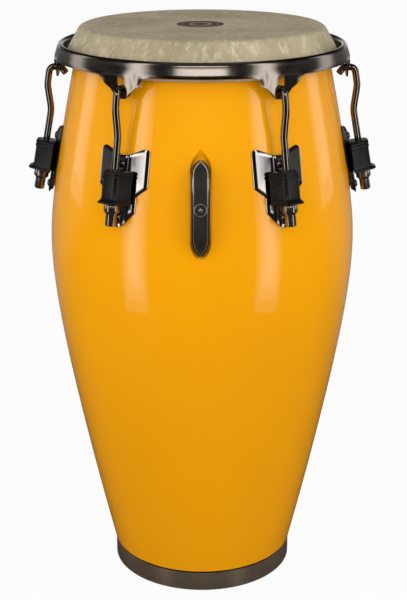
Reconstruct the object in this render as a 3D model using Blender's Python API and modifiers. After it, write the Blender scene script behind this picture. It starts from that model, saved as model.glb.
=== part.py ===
# Conga drum: a lacquered fibreglass shell, a hide head on a flesh hoop, a rounded steel
# rim with six slotted tabs, and six hook lugs that pull it down through cushioned nuts.
# Metres, +Z up, origin at the middle of the floor ring, carrying handle towards -Y.
# A place round the drum is first drawn along +X, with y running sideways, and then turned.

import math

import bmesh
import bpy
from mathutils import Matrix, Vector

# Overall sizes
DRUM_HEIGHT = 0.762           # floor to playing surface
GAP = 0.0003                  # clearance between touching pieces
RING_STEPS = 42               # flats round every turned piece
SHELL_RINGS = 11              # rings up the shell's wall
LUG_COUNT = 6

# Shell: outer radius at heights that are shares of the drum's height
SHELL_PROFILE = (
    (0.0131, 0.1209), (0.1181, 0.1396), (0.2362, 0.1592), (0.3543, 0.1774),
    (0.4593, 0.1916), (0.5512, 0.2009), (0.6430, 0.2036), (0.7480, 0.1943),
    (0.8530, 0.1802), (0.9252, 0.1692), (1.0000, 0.1588),
)
SHELL_WALL = 0.0070
EDGE_WALL = 0.0110            # thicker wall under the bearing edge
EDGE_BLEND = 0.060            # height over which the wall thickens

# Head and flesh hoop
SKIN = 0.0025
SHOULDER_RADIUS = 0.0100      # rounding of the skin over the bearing edge
SHOULDER_START = 0.1523       # radius where the flat playing surface ends
COLLAR_SLOPE = math.radians(60.0)
HOOP_RADIUS = 0.1735
HOOP_DROP = 0.0400            # playing surface to the hoop
HOOP_WIRE = 0.0037
HOOP_SIDES = 6

# Rim
RIM_THICKNESS = 0.0024
RIM_CHANNEL = 0.0088          # inner wall to skirt, middle to middle
RIM_RISE = 0.0139             # bearing edge to the middle of the crown
CROWN_RISE = 0.0045
SKIRT_DROP = 0.0039           # bearing edge to the bottom of the plain skirt
SKIRT_FLARE = 0.0022
FLARE_HEIGHT = 0.0048
TAB_TUCK = 0.0012             # how far a tab leans in at its foot
PROW = 0.0014                 # bulge down the middle of a tab
TAB_OUTLINE = (               # half width, drop below the plain skirt
    (0.0000, 0.0275), (0.0060, 0.0263), (0.0127, 0.0178), (0.0210, 0.0128),
    (0.0250, 0.0083), (0.0280, 0.0020), (0.0320, 0.0000),
)
SLOT_WIDTH = 0.0110
SLOT_LENGTH = 0.0224
SLOT_BRIDGE = 0.0076          # metal left below a slot

# Lug station: the line of the shank, and its slant
LUG_DROP = 0.1710             # playing surface to the middle of the cushion
LUG_STANDOFF = 0.0199         # shell to the shank's line
LUG_SLANT = math.radians(10.6)

# Hook rod
ROD_RADIUS = 0.0045
ROD_SIDES = 8
HOOK_LAND = (0.0046, 0.0100)  # level run over the slot: inside and outside of the tab
HOOK_TIP = (0.0067, 0.0088)   # how far the tip turns in and down
HOOK_BELLY = (0.0138, 0.0234)  # outermost bend: out from the tab, down from the land
HOOK_WAIST = 0.0610           # where the rod meets the shank's line, above the cushion's middle
BEND_RADII = (0.0070, 0.0080, 0.0300, 0.0400)
ROD_IN_NUT = 0.0040           # nut's foot to the rod's end

# Cushion, bushing and nut
CUSHION_HEIGHT = 0.0427
CUSHION_BACK = 0.0123         # shank's line to the cushion's back
CUSHION_FRONT = 0.0118
CUSHION_BACK_WIDTH = 0.0370
CUSHION_FRONT_WIDTH = 0.0200
CUSHION_ROUND = 0.0040
RIB = 0.0010
BEAK = 0.0058                 # how far the bottom lip reaches out in front
LIP = 0.0016                  # and at the sides
BUSH_WALL = 0.0014
BUSH_SIDES = 8
NUT_SIDES = 12                # two to each side of the hexagon
NUT_FLANGE = 0.0175           # across flats
NUT_HEX = 0.0130
NUT_FLANGE_HEIGHT = 0.0115
NUT_HEIGHT = 0.0295

# Side plate: half outline as sideways, up from the cushion's middle
PLATE_THICKNESS = 0.0025
PLATE_OUTLINE = (
    (0.0060, 0.0385), (0.0348, 0.0510), (0.0348, 0.0000), (0.0205, -0.0110),
    (0.0205, -0.0335), (0.0042, -0.0540),
)
PLATE_ROUND = 0.0022
STRIP_WIDTH = 0.0130
SHELF_THICKNESS = 0.0040
SHELF_WIDTH = 0.0200
SHELF_FRONT = 0.0098          # shank's line to the shelf's outer end

# Fasteners of the side plate
SCREW_PLACES = (0.0275, -0.0387)
SCREW_RADIUS = 0.0030
SCREW_HEAD = 0.0050
SCREW_DOME = 0.0026
SCREW_SIDES = 8
HOLE_SIDES = 8
BACKING_WIDTH = 0.0200
BACKING_THICKNESS = 0.0020
BACKING_MARGIN = 0.0110       # backing plate beyond its screws
PLATE_NUT_FLATS = 0.0100
PLATE_NUT_HEIGHT = 0.0050
SCREW_TAIL = 0.0010

# Handle, in a pointed recess of the shell
HANDLE_DROP = 0.1930          # playing surface to the handle's middle
HANDLE_LENGTH = 0.1200
HANDLE_WIDTH = 0.0205
HANDLE_POINT = 0.0160         # length of each pointed end
HANDLE_STANDOFF = 0.0165      # shell to the middle of the handle's face
HANDLE_BOW = 0.0115           # how far the face falls back to its tips
HANDLE_BAR = 0.0050           # thickness over the fingers
HANDLE_BEVEL = 0.0014
HANDLE_TIP = 0.0016           # width left at the very tips
HANDLE_BLOCK = 0.0200         # length of each end that stands in the recess
FINGER_ROUND = 0.0050
FINGER_DRAFT = 0.0015         # lean of the gap's end walls
RECESS_DEPTH = 0.0070
RECESS_END = 0.0110           # recess beyond the handle's tips
RECESS_SIDE = 0.0020          # and beside the handle
RECESS_POINT = 0.0260
RECESS_TAPER = 0.0012         # how much narrower the floor is on each side
RECESS_RIM = 0.0060           # moulded wall beside the recess
HANDLE_BOLT = 0.0030
HANDLE_BOLT_DEPTH = 0.0090
HANDLE_BOLT_INSET = 0.0130    # from the handle's tip
BOLT_HEAD = 0.0070
BOLT_HEAD_HEIGHT = 0.0040

# Foot
BAND_HEIGHT = 0.0265
BAND_FOOT = 0.0010            # floor to the band's lower edge
BAND_RADIUS = 0.1250
BAND_THICKNESS = 0.0022
BAND_EDGE = 0.0005
BASE_HEIGHT = 0.0080
BASE_WIDTH = 0.0095

# Sizes that follow from those above
HOOP_HEIGHT = DRUM_HEIGHT - HOOP_DROP
LUG_HEIGHT = DRUM_HEIGHT - LUG_DROP
HANDLE_HEIGHT = DRUM_HEIGHT - HANDLE_DROP
FINGER_LENGTH = HANDLE_LENGTH - 2 * HANDLE_BLOCK
HANDLE_BOLT_PLACE = HANDLE_LENGTH / 2 - HANDLE_BOLT_INSET
RECESS_LENGTH = HANDLE_LENGTH + 2 * RECESS_END
RECESS_WIDTH = HANDLE_WIDTH + 2 * RECESS_SIDE
EDGE_HEIGHT = DRUM_HEIGHT - SHOULDER_RADIUS
NORMAL = math.pi / 2 - COLLAR_SLOPE          # direction square to the collar
WRAP = HOOP_WIRE + GAP + SKIN                # radius of the skin round the hoop
BEARING_RADIUS = HOOP_RADIUS + (WRAP + GAP) * math.cos(NORMAL)
BEARING_HEIGHT = HOOP_HEIGHT + (WRAP + GAP) * math.sin(NORMAL)
RIM_WALL = BEARING_RADIUS + RIM_THICKNESS / 2
RIM_SKIRT = RIM_WALL + RIM_CHANNEL
SKIRT_FOOT = BEARING_HEIGHT - SKIRT_DROP
TAB_FOOT = SKIRT_FOOT - max(drop for across, drop in TAB_OUTLINE)
TAB_RADIUS = RIM_SKIRT - TAB_TUCK + PROW     # middle of the metal at a tab's foot
SLOT_FOOT = TAB_FOOT + SLOT_BRIDGE
LAND_HEIGHT = SLOT_FOOT + GAP + ROD_RADIUS
STRIP_FACE = -CUSHION_BACK - GAP
BAND_TOP = BAND_FOOT + BAND_HEIGHT
BAND_SEAT = BAND_RADIUS - BAND_THICKNESS - GAP


def spline_through(points):
    # Natural cubic spline through (height, radius) points, returned as a function.
    count = len(points)
    xs = [point[0] for point in points]
    ys = [point[1] for point in points]
    steps = [xs[i + 1] - xs[i] for i in range(count - 1)]
    weight = [0.0] * count
    bend = [0.0] * count
    for i in range(1, count - 1):
        slope_change = (ys[i + 1] - ys[i]) / steps[i] - (ys[i] - ys[i - 1]) / steps[i - 1]
        pivot = 2 * (xs[i + 1] - xs[i - 1]) - steps[i - 1] * weight[i - 1]
        weight[i] = steps[i] / pivot
        bend[i] = (6 * slope_change - steps[i - 1] * bend[i - 1]) / pivot
    for i in range(count - 2, 0, -1):
        bend[i] -= weight[i] * bend[i + 1]

    def value(x):
        i = max(k for k in range(count - 1) if k == 0 or xs[k] <= x)
        h = steps[i]
        a = (xs[i + 1] - x) / h
        b = (x - xs[i]) / h
        curved = ((a ** 3 - a) * bend[i] + (b ** 3 - b) * bend[i + 1]) * h * h / 6
        return a * ys[i] + b * ys[i + 1] + curved

    return value


shell_radius = spline_through([(share * DRUM_HEIGHT, radius) for share, radius in SHELL_PROFILE])


def shell_inside(height):
    # The wall thickens towards the bearing edge.
    share = (height - (EDGE_HEIGHT - EDGE_BLEND)) / EDGE_BLEND
    share = min(max(share, 0.0), 1.0)
    return shell_radius(height) - SHELL_WALL - (EDGE_WALL - SHELL_WALL) * share


def shell_heights():
    top = SHELL_PROFILE[-2][0] * DRUM_HEIGHT
    foot = BAND_TOP + GAP
    return [top + (foot - top) * i / (SHELL_RINGS - 1) for i in range(SHELL_RINGS)]


def between_rings(radius_at, heights, height):
    # The wall runs straight from ring to ring, a little inside its curve.
    i = max(k for k in range(len(heights) - 1) if k == 0 or heights[k] >= height)
    share = (height - heights[i]) / (heights[i + 1] - heights[i])
    return radius_at(heights[i]) * (1 - share) + radius_at(heights[i + 1]) * share


def shell_face(height):
    return between_rings(shell_radius, shell_heights(), height)


def shell_back(height):
    return between_rings(shell_inside, shell_heights()[::2], height) * math.cos(math.pi / RING_STEPS)


def clear_radius(radius, sides):
    # Corner radius of a many-sided hole whose flats clear a round of this radius.
    return (radius + GAP) / math.cos(math.pi / sides)


def arc(centre, radius, start, end, count):
    # Points on an arc in a plane, from the start angle to the end angle in degrees.
    points = []
    for i in range(count):
        angle = math.radians(start + (end - start) * i / (count - 1))
        points.append((centre[0] + radius * math.cos(angle), centre[1] + radius * math.sin(angle)))
    return points


def rounded_corner(before, corner, after, radius, count):
    # An arc that replaces one corner of an outline and touches both of its sides.
    corner = Vector(corner)
    to_before = (Vector(before) - corner).normalized()
    to_after = (Vector(after) - corner).normalized()
    half = to_before.angle(to_after) / 2
    centre = corner + (to_before + to_after).normalized() * (radius / math.sin(half))
    start = corner + to_before * (radius / math.tan(half)) - centre
    end = corner + to_after * (radius / math.tan(half)) - centre
    points = []
    for i in range(count):
        share = i / (count - 1)
        spoke = start.lerp(end, share).normalized() * radius
        points.append(tuple(centre + spoke))
    return points


def rounded_outline(corners, radius, count):
    points = []
    for i, corner in enumerate(corners):
        points += rounded_corner(corners[i - 1], corner, corners[(i + 1) % len(corners)], radius, count)
    return points


def clear_scene():
    for item in list(bpy.data.objects):
        bpy.data.objects.remove(item, do_unlink=True)


def make_collection(name):
    collection = bpy.data.collections.new(name)
    bpy.context.scene.collection.children.link(collection)
    return collection


def make_material(name, colour, roughness, metallic):
    material = bpy.data.materials.new(name)
    material.use_nodes = True
    shader = material.node_tree.nodes["Principled BSDF"]
    shader.inputs["Base Color"].default_value = (*colour, 1.0)
    shader.inputs["Roughness"].default_value = roughness
    shader.inputs["Metallic"].default_value = metallic
    material.diffuse_color = (*colour, 1.0)
    return material


def add_object(name, mesh, collection, material=None, parent=None):
    item = bpy.data.objects.new(name, mesh)
    collection.objects.link(item)
    if material is not None and not mesh.materials:
        mesh.materials.append(material)
    if parent is not None:
        item.parent = parent
    return item


def add_cutter(name, mesh):
    item = add_object(name, mesh, cutters)
    item.hide_render = True
    item.display_type = "WIRE"
    return item


def to_mesh(shape, name, smooth=True):
    mesh = bpy.data.meshes.new(name)
    shape.to_mesh(mesh)
    shape.free()
    if smooth:
        mesh.shade_smooth()
        mesh.set_sharp_from_angle(angle=math.radians(35))
    return mesh


def add_loft(shape, loops, closed=False):
    # Bridges loops of equal count; closed joins the last loop to the first, as on a ring.
    rings = [[shape.verts.new(point) for point in loop] for loop in loops]
    faces = []
    pairs = list(zip(rings, rings[1:]))
    if closed:
        pairs.append((rings[-1], rings[0]))
    for low, high in pairs:
        for i in range(len(low)):
            j = (i + 1) % len(low)
            faces.append(shape.faces.new((low[i], low[j], high[j], high[i])))
    if not closed:
        faces.append(shape.faces.new(list(reversed(rings[0]))))
        faces.append(shape.faces.new(rings[-1]))
    bmesh.ops.recalc_face_normals(shape, faces=faces)


def circle_loop(radius, along, sides, axis, centre=(0.0, 0.0)):
    # A loop square to the axis, at a distance along it; centre gives the other two places.
    points = []
    for i in range(sides):
        angle = 2 * math.pi * i / sides
        a = centre[0] + radius * math.cos(angle)
        b = centre[1] + radius * math.sin(angle)
        points.append((along, a, b) if axis == "X" else (a, b, along))
    return points


def hex_loop(flats, height):
    # A hexagon with a point at the middle of each side, to match a twelve-sided bore.
    points = []
    for i in range(NUT_SIDES):
        radius = flats / 2 if i % 2 else flats / 2 / math.cos(math.pi / 6)
        angle = 2 * math.pi * i / NUT_SIDES
        points.append((radius * math.cos(angle), radius * math.sin(angle), height))
    return points


def add_bar(shape, low, high):
    middle = (Vector(low) + Vector(high)) / 2
    size = Vector(high) - Vector(low)
    place = Matrix.Translation(middle) @ Matrix.Diagonal((*size, 1.0))
    bmesh.ops.create_cube(shape, size=1.0, matrix=place)


def turn_section(name, section, material):
    # Turns a section of (radius, height) points about Z. It runs down its outer side.
    mesh = bpy.data.meshes.new(name)
    points = [(radius, 0.0, height) for radius, height in section]
    edges = [(i, i + 1) for i in range(len(points) - 1)]
    if section[0][0] > 0.0:
        edges.append((len(points) - 1, 0))
    mesh.from_pydata(points, edges, [])
    item = add_object(name, mesh, parts, material)
    screw = item.modifiers.new("Turn", "SCREW")
    screw.steps = RING_STEPS
    screw.render_steps = RING_STEPS
    screw.use_merge_vertices = True
    screw.merge_threshold = 0.00001
    screw.use_smooth_shade = True
    return item


def add_boolean(item, other, operation="DIFFERENCE"):
    step = item.modifiers.new(other.name, "BOOLEAN")
    step.operation = operation
    step.solver = "EXACT"
    step.object = other


def finished_mesh(item, name):
    # The object's mesh with its modifiers applied; the object itself is removed.
    bpy.context.view_layer.update()
    graph = bpy.context.evaluated_depsgraph_get()
    mesh = bpy.data.meshes.new_from_object(item.evaluated_get(graph))
    mesh.name = name
    bpy.data.objects.remove(item, do_unlink=True)
    return mesh


# Lug stations

def lug_angle(index):
    return 2 * math.pi * index / LUG_COUNT


def lug_origin():
    return Vector((shell_radius(LUG_HEIGHT) + LUG_STANDOFF, 0.0, LUG_HEIGHT))


def lug_frame(index=0):
    # x outwards, y sideways, z up along the shank, which leans in towards the top.
    turn = Matrix.Rotation(lug_angle(index), 4, "Z")
    lean = Matrix.Rotation(-LUG_SLANT, 4, "Y")
    return turn @ Matrix.Translation(lug_origin()) @ lean


def into_lug(radius, height):
    point = lug_frame().inverted() @ Vector((radius, 0.0, height))
    return point.x, point.z


def wall_in_frame(frame, radius_at, sideways, up):
    # Where a turned wall lies along x of a frame, for a place sideways and up in it.
    along = 0.0
    for step in range(12):
        point = frame @ Vector((along, sideways, up))
        along -= math.hypot(point.x, point.y) - radius_at(point.z)
    return along


def make_lug_empties():
    empties = []
    for index in range(LUG_COUNT):
        empty = bpy.data.objects.new(f"lug_axis_{index + 1}", None)
        empty.matrix_world = lug_frame(index)
        parts.objects.link(empty)
        empties.append(empty)
    return empties


# Shell, head and foot

def shell_section():
    edge = SHOULDER_RADIUS - SKIN - GAP
    section = arc((SHOULDER_START, EDGE_HEIGHT), edge, 90, 10, 4)
    section += [(shell_radius(height), height) for height in shell_heights()]
    section.append((BAND_SEAT, BAND_TOP + GAP))
    section.append((BAND_SEAT, BASE_HEIGHT + GAP))
    section.append((shell_inside(BASE_HEIGHT), BASE_HEIGHT + GAP))
    section += [(shell_inside(height), height) for height in reversed(shell_heights()[::2])]
    section.append((shell_inside(EDGE_HEIGHT), EDGE_HEIGHT - edge))
    section.append((SHOULDER_START - edge, EDGE_HEIGHT))
    return section


def make_shell():
    shell = turn_section("shell", shell_section(), lacquer)
    pocket = add_cutter("recess_wall", recess_mesh(RECESS_RIM, SHELL_WALL, -SHELL_WALL / 2))
    recess = add_cutter("recess_cut", recess_mesh(0.0, 0.0, HANDLE_STANDOFF))
    bolts = add_cutter("handle_bolt_holes", bolt_hole_mesh())
    for item in (pocket, recess, bolts):
        item.matrix_world = handle_frame()
    holes = add_cutter("plate_screw_holes", shell_hole_mesh())
    add_boolean(shell, pocket, "UNION")
    for item in (recess, bolts, holes):
        add_boolean(shell, item)
    return shell


def collar_foot(radius):
    sides = HOOP_SIDES * 2 // 3
    return arc((HOOP_RADIUS, HOOP_HEIGHT), radius, math.degrees(NORMAL),
               math.degrees(NORMAL) - 360 * sides / HOOP_SIDES, sides + 1)


def make_head():
    centre = (SHOULDER_START, EDGE_HEIGHT)
    end = math.degrees(NORMAL)
    section = [(0.0, DRUM_HEIGHT)]
    section += arc(centre, SHOULDER_RADIUS, 90, end, 4)
    section += collar_foot(WRAP)
    section += reversed(collar_foot(WRAP - SKIN))
    section += reversed(arc(centre, SHOULDER_RADIUS - SKIN, 90, end, 3))
    section.append((0.0, DRUM_HEIGHT - SKIN))
    turn_section("drum_head", section, hide)
    hoop = arc((HOOP_RADIUS, HOOP_HEIGHT), HOOP_WIRE, math.degrees(NORMAL) + 360,
               math.degrees(NORMAL) + 360 / HOOP_SIDES, HOOP_SIDES)
    turn_section("flesh_hoop", hoop, steel)


def make_foot():
    inner = BAND_RADIUS - BAND_THICKNESS
    band = [
        (inner, BAND_TOP), (BAND_RADIUS - BAND_EDGE, BAND_TOP),
        (BAND_RADIUS, BAND_TOP - BAND_EDGE), (BAND_RADIUS, BAND_FOOT), (inner, BAND_FOOT),
    ]
    turn_section("foot_band", band, band_metal)
    outer = BAND_SEAT
    base = [
        (outer - BASE_WIDTH, BASE_HEIGHT), (outer, BASE_HEIGHT),
        (outer, 0.0), (outer - BASE_WIDTH, 0.0),
    ]
    turn_section("base_ring", base, rubber)


# Rim: one pressed sheet, its section swept round and its skirt let down into six tabs

def rim_columns():
    # Each column is its angle, the drop of the skirt and the bulge of the tab there.
    columns = []
    sector = 2 * math.pi / LUG_COUNT
    step = 2 * math.pi / RING_STEPS
    widest = max(across for across, drop in TAB_OUTLINE)
    for index in range(LUG_COUNT):
        middle = lug_angle(index)
        half = [(across, drop, prow(across)) for across, drop in TAB_OUTLINE]
        both = [(-across, drop, bulge) for across, drop, bulge in reversed(half[1:])] + half
        for across, drop, bulge in both:
            columns.append((middle + across / RIM_SKIRT, drop, bulge))
        for i in range(1, round(sector / step)):
            angle = step * i
            if min(angle, sector - angle) * RIM_SKIRT > widest + step * RIM_SKIRT / 3:
                columns.append((middle + angle, 0.0, 0.0))
    return columns


def prow(across):
    # Bulge of a tab: full along its middle and gone at its shoulders.
    share = min(abs(across) / TAB_OUTLINE[3][0], 1.0)
    return PROW * (1 - share * share)


def rim_column(drop, bulge):
    crown_height = BEARING_HEIGHT + RIM_RISE - CROWN_RISE
    points = [(RIM_WALL, BEARING_HEIGHT)]
    for i in range(4):
        angle = math.pi * (1 - i / 3)
        across = RIM_CHANNEL / 2 * (1 + math.cos(angle))
        points.append((RIM_WALL + across, crown_height + CROWN_RISE * math.sin(angle)))
    points.append((RIM_SKIRT + bulge / 2, SKIRT_FOOT + FLARE_HEIGHT))
    flare = SKIRT_FLARE - (TAB_TUCK if drop > 0 else 0.0)
    points.append((RIM_SKIRT + flare * 0.7 + bulge, SKIRT_FOOT + FLARE_HEIGHT * 0.2))
    if drop > 0:
        points.append((RIM_SKIRT - TAB_TUCK + bulge, SKIRT_FOOT - drop))
    else:
        points.append((RIM_SKIRT + SKIRT_FLARE, SKIRT_FOOT))
    return points


def make_rim():
    shape = bmesh.new()
    rings = []
    for angle, drop, bulge in rim_columns():
        ring = []
        for radius, height in rim_column(drop, bulge):
            ring.append(shape.verts.new((radius * math.cos(angle), radius * math.sin(angle), height)))
        rings.append(ring)
    for i, ring in enumerate(rings):
        after = rings[(i + 1) % len(rings)]
        for j in range(len(ring) - 1):
            shape.faces.new((ring[j], ring[j + 1], after[j + 1], after[j]))
    rim = add_object("tuning_rim", to_mesh(shape, "tuning_rim"), parts, black_nickel)
    sheet = rim.modifiers.new("Sheet", "SOLIDIFY")
    sheet.thickness = RIM_THICKNESS
    sheet.offset = 0.0
    add_boolean(rim, add_cutter("rim_slots", slot_mesh()))


def slot_mesh():
    shape = bmesh.new()
    radius = SLOT_WIDTH / 2
    foot = SLOT_FOOT + radius
    top = SLOT_FOOT + SLOT_LENGTH - radius
    outline = arc((0.0, foot), radius, 180, 360, 5) + arc((0.0, top), radius, 0, 180, 5)
    near = RIM_SKIRT - RIM_CHANNEL / 2
    far = RIM_SKIRT + RIM_CHANNEL
    for index in range(LUG_COUNT):
        turn = Matrix.Rotation(lug_angle(index), 3, "Z")
        loops = [[turn @ Vector((x, y, z)) for y, z in outline] for x in (near, far)]
        add_loft(shape, loops)
    return to_mesh(shape, "rim_slots", smooth=False)


# Lug pieces, drawn in the lug's own frame

def hook_corners():
    # Corners of the rod's line, from the tip over the slot and down to the shank's end.
    inside = TAB_RADIUS - HOOK_LAND[0]
    outside = TAB_RADIUS + HOOK_LAND[1]
    return [
        into_lug(inside - HOOK_TIP[0], LAND_HEIGHT - HOOK_TIP[1]),
        into_lug(inside, LAND_HEIGHT),
        into_lug(outside, LAND_HEIGHT),
        into_lug(TAB_RADIUS + HOOK_BELLY[0], LAND_HEIGHT - HOOK_BELLY[1]),
        (0.0, HOOK_WAIST),
        (0.0, -CUSHION_HEIGHT / 2 - GAP - NUT_HEIGHT + ROD_IN_NUT),
    ]


def hook_mesh():
    corners = hook_corners()
    line = [corners[0]]
    for i, radius in enumerate(BEND_RADII, start=1):
        count = 4 if i < 3 else 3
        line += rounded_corner(corners[i - 1], corners[i], corners[i + 1], radius, count)
    line.append(corners[-1])
    curve = bpy.data.curves.new("hook_line", "CURVE")
    curve.dimensions = "3D"
    curve.bevel_depth = ROD_RADIUS
    curve.bevel_resolution = ROD_SIDES // 2 - 2
    curve.use_fill_caps = True
    spline = curve.splines.new("POLY")
    spline.points.add(len(line) - 1)
    for point, (x, z) in zip(spline.points, line):
        point.co = (x, 0.0, z, 1.0)
    mesh = finished_mesh(add_object("hook_line", curve, parts, black_nickel), "lug_hook")
    shape = bmesh.new()
    shape.from_mesh(mesh)
    bmesh.ops.remove_doubles(shape, verts=shape.verts, dist=0.00001)
    bmesh.ops.recalc_face_normals(shape, faces=shape.faces)
    shape.to_mesh(mesh)
    shape.free()
    mesh.shade_smooth()
    mesh.set_sharp_from_angle(angle=math.radians(60))
    return mesh


def nut_mesh():
    top = -CUSHION_HEIGHT / 2 - GAP
    shoulder = top - NUT_FLANGE_HEIGHT
    foot = top - NUT_HEIGHT
    chamfer = (NUT_FLANGE - NUT_HEX) / 2
    edge = chamfer / 2
    bore = clear_radius(ROD_RADIUS, NUT_SIDES)
    loops = [
        hex_loop(NUT_FLANGE, top), hex_loop(NUT_FLANGE, shoulder + chamfer / 2),
        hex_loop(NUT_HEX, shoulder - chamfer / 2), hex_loop(NUT_HEX, foot + edge),
        hex_loop(NUT_HEX - edge, foot),
        circle_loop(bore, foot, NUT_SIDES, "Z"), circle_loop(bore, top, NUT_SIDES, "Z"),
    ]
    shape = bmesh.new()
    add_loft(shape, loops, closed=True)
    return to_mesh(shape, "tuning_nut")


def bushing_radius():
    return clear_radius(ROD_RADIUS, BUSH_SIDES) + BUSH_WALL


def bushing_mesh():
    half = CUSHION_HEIGHT / 2
    inner = clear_radius(ROD_RADIUS, BUSH_SIDES)
    outer = bushing_radius()
    section = ((outer, half), (outer, -half), (inner, -half), (inner, half))
    shape = bmesh.new()
    loops = [circle_loop(radius, height, BUSH_SIDES, "Z") for radius, height in section]
    add_loft(shape, loops, closed=True)
    return to_mesh(shape, "lug_bushing")


def cushion_loop(height, out_front, out_side):
    # A trapezium, wide at the back, with rounded outer corners.
    back = CUSHION_BACK_WIDTH / 2 + out_side
    front = CUSHION_FRONT_WIDTH / 2 + out_side
    face = CUSHION_FRONT + out_front
    corners = [(-CUSHION_BACK, -back), (face, -front), (face, front), (-CUSHION_BACK, back)]
    outline = [corners[0]]
    outline += rounded_corner(corners[0], corners[1], corners[2], CUSHION_ROUND, 3)
    outline += rounded_corner(corners[1], corners[2], corners[3], CUSHION_ROUND, 3)
    outline.append(corners[3])
    return [(x, y, height) for x, y in outline]


def cushion_mesh():
    half = CUSHION_HEIGHT / 2
    levels = (
        (-half, BEAK * 0.8, LIP * 0.6), (-half + 0.0016, BEAK, LIP),
        (-half + 0.0062, 0.0, 0.0), (half - 0.0092, 0.0, 0.0),
        (half - 0.0082, RIB, RIB), (half - 0.0056, RIB, RIB), (half - 0.0046, 0.0, 0.0),
        (half - 0.0036, RIB, RIB), (half - 0.0008, RIB, RIB), (half, 0.0, 0.0),
    )
    shape = bmesh.new()
    add_loft(shape, [cushion_loop(*level) for level in levels])
    cushion = add_object("cushion_block", to_mesh(shape, "cushion_block"), parts, rubber)
    bore = bmesh.new()
    radius = clear_radius(bushing_radius(), BUSH_SIDES)
    add_loft(bore, [circle_loop(radius, z, BUSH_SIDES, "Z") for z in (-half * 1.5, half * 1.5)])
    pocket = bmesh.new()
    side = SHELF_WIDTH / 2 + GAP
    up = SHELF_THICKNESS / 2 + GAP
    add_bar(pocket, (STRIP_FACE - PLATE_THICKNESS, -side, -up), (SHELF_FRONT + GAP, side, up))
    for cut in (to_mesh(bore, "cushion_bore", False), to_mesh(pocket, "cushion_pocket", False)):
        add_boolean(cushion, add_cutter(cut.name, cut))
    return finished_mesh(cushion, "lug_cushion")


def wing_drop():
    # How far the wings lean back, so that their outer edges rest on the shell.
    frame = lug_frame()
    across = max(point[0] for point in PLATE_OUTLINE)
    heights = [point[1] for point in PLATE_OUTLINE if point[0] == across]
    seat = max(wall_in_frame(frame, shell_face, across, height) for height in heights)
    return STRIP_FACE - PLATE_THICKNESS - GAP - seat


def plate_mesh():
    right = list(PLATE_OUTLINE)
    left = [(-across, height) for across, height in reversed(right)]
    outline = rounded_outline(right + left, PLATE_ROUND, 2)
    shape = bmesh.new()
    shape.faces.new([shape.verts.new((0.0, across, height)) for across, height in outline])
    widest = max(point[0] for point in PLATE_OUTLINE)
    fold = STRIP_WIDTH / 2
    for side in (-1, 1):
        everything = shape.verts[:] + shape.edges[:] + shape.faces[:]
        bmesh.ops.bisect_plane(shape, geom=everything, plane_co=(0.0, side * fold, 0.0),
                               plane_no=(0.0, 1.0, 0.0))
    slope = wing_drop() / (widest - fold)
    middle = STRIP_FACE - PLATE_THICKNESS / 2
    for vert in shape.verts:
        vert.co.x = middle - slope * max(abs(vert.co.y) - fold, 0.0)
    plate = add_object("plate_sheet", to_mesh(shape, "plate_sheet", False), parts, black_nickel)
    sheet = plate.modifiers.new("Sheet", "SOLIDIFY")
    sheet.thickness = PLATE_THICKNESS
    sheet.offset = 0.0
    shelf = bmesh.new()
    side = SHELF_WIDTH / 2
    up = SHELF_THICKNESS / 2
    inset = fold - PLATE_THICKNESS
    root = STRIP_FACE - PLATE_THICKNESS / 2
    outline = [
        (root, -inset), (STRIP_FACE + GAP, -inset), (STRIP_FACE + GAP, -side),
        (SHELF_FRONT, -side), (SHELF_FRONT, side), (STRIP_FACE + GAP, side),
        (STRIP_FACE + GAP, inset), (root, inset),
    ]
    add_loft(shelf, [[(x, y, z) for x, y in outline] for z in (-up, up)])
    add_boolean(plate, add_cutter("plate_shelf", to_mesh(shelf, "plate_shelf", False)), "UNION")
    holes = bmesh.new()
    radius = clear_radius(bushing_radius(), BUSH_SIDES)
    add_loft(holes, [circle_loop(radius, z, BUSH_SIDES, "Z") for z in (-3 * up, 3 * up)])
    radius = clear_radius(SCREW_RADIUS, HOLE_SIDES)
    near = STRIP_FACE - 2 * PLATE_THICKNESS
    far = STRIP_FACE + PLATE_THICKNESS
    for place in SCREW_PLACES:
        add_loft(holes, [circle_loop(radius, x, HOLE_SIDES, "X", (0.0, place)) for x in (near, far)])
    add_boolean(plate, add_cutter("plate_holes", to_mesh(holes, "plate_holes", False)))
    return finished_mesh(plate, "side_plate")


def backing_face():
    # The backing plate's outer face, just clear of the shell's inside at every corner.
    frame = lug_frame()
    faces = []
    for sideways in (0.0, BACKING_WIDTH / 2):
        for up in (SCREW_PLACES[0] + BACKING_MARGIN, 0.0, SCREW_PLACES[1] - BACKING_MARGIN):
            faces.append(wall_in_frame(frame, shell_back, sideways, up))
    return min(faces) - GAP


def shell_hole_mesh():
    shape = bmesh.new()
    radius = clear_radius(SCREW_RADIUS, HOLE_SIDES)
    near = backing_face() - SHELL_WALL
    far = STRIP_FACE
    for index in range(LUG_COUNT):
        for place in SCREW_PLACES:
            loops = [circle_loop(radius, x, HOLE_SIDES, "X", (0.0, place)) for x in (near, far)]
            add_loft(shape, [[lug_frame(index) @ Vector(p) for p in loop] for loop in loops])
    return to_mesh(shape, "plate_screw_holes", smooth=False)


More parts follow.
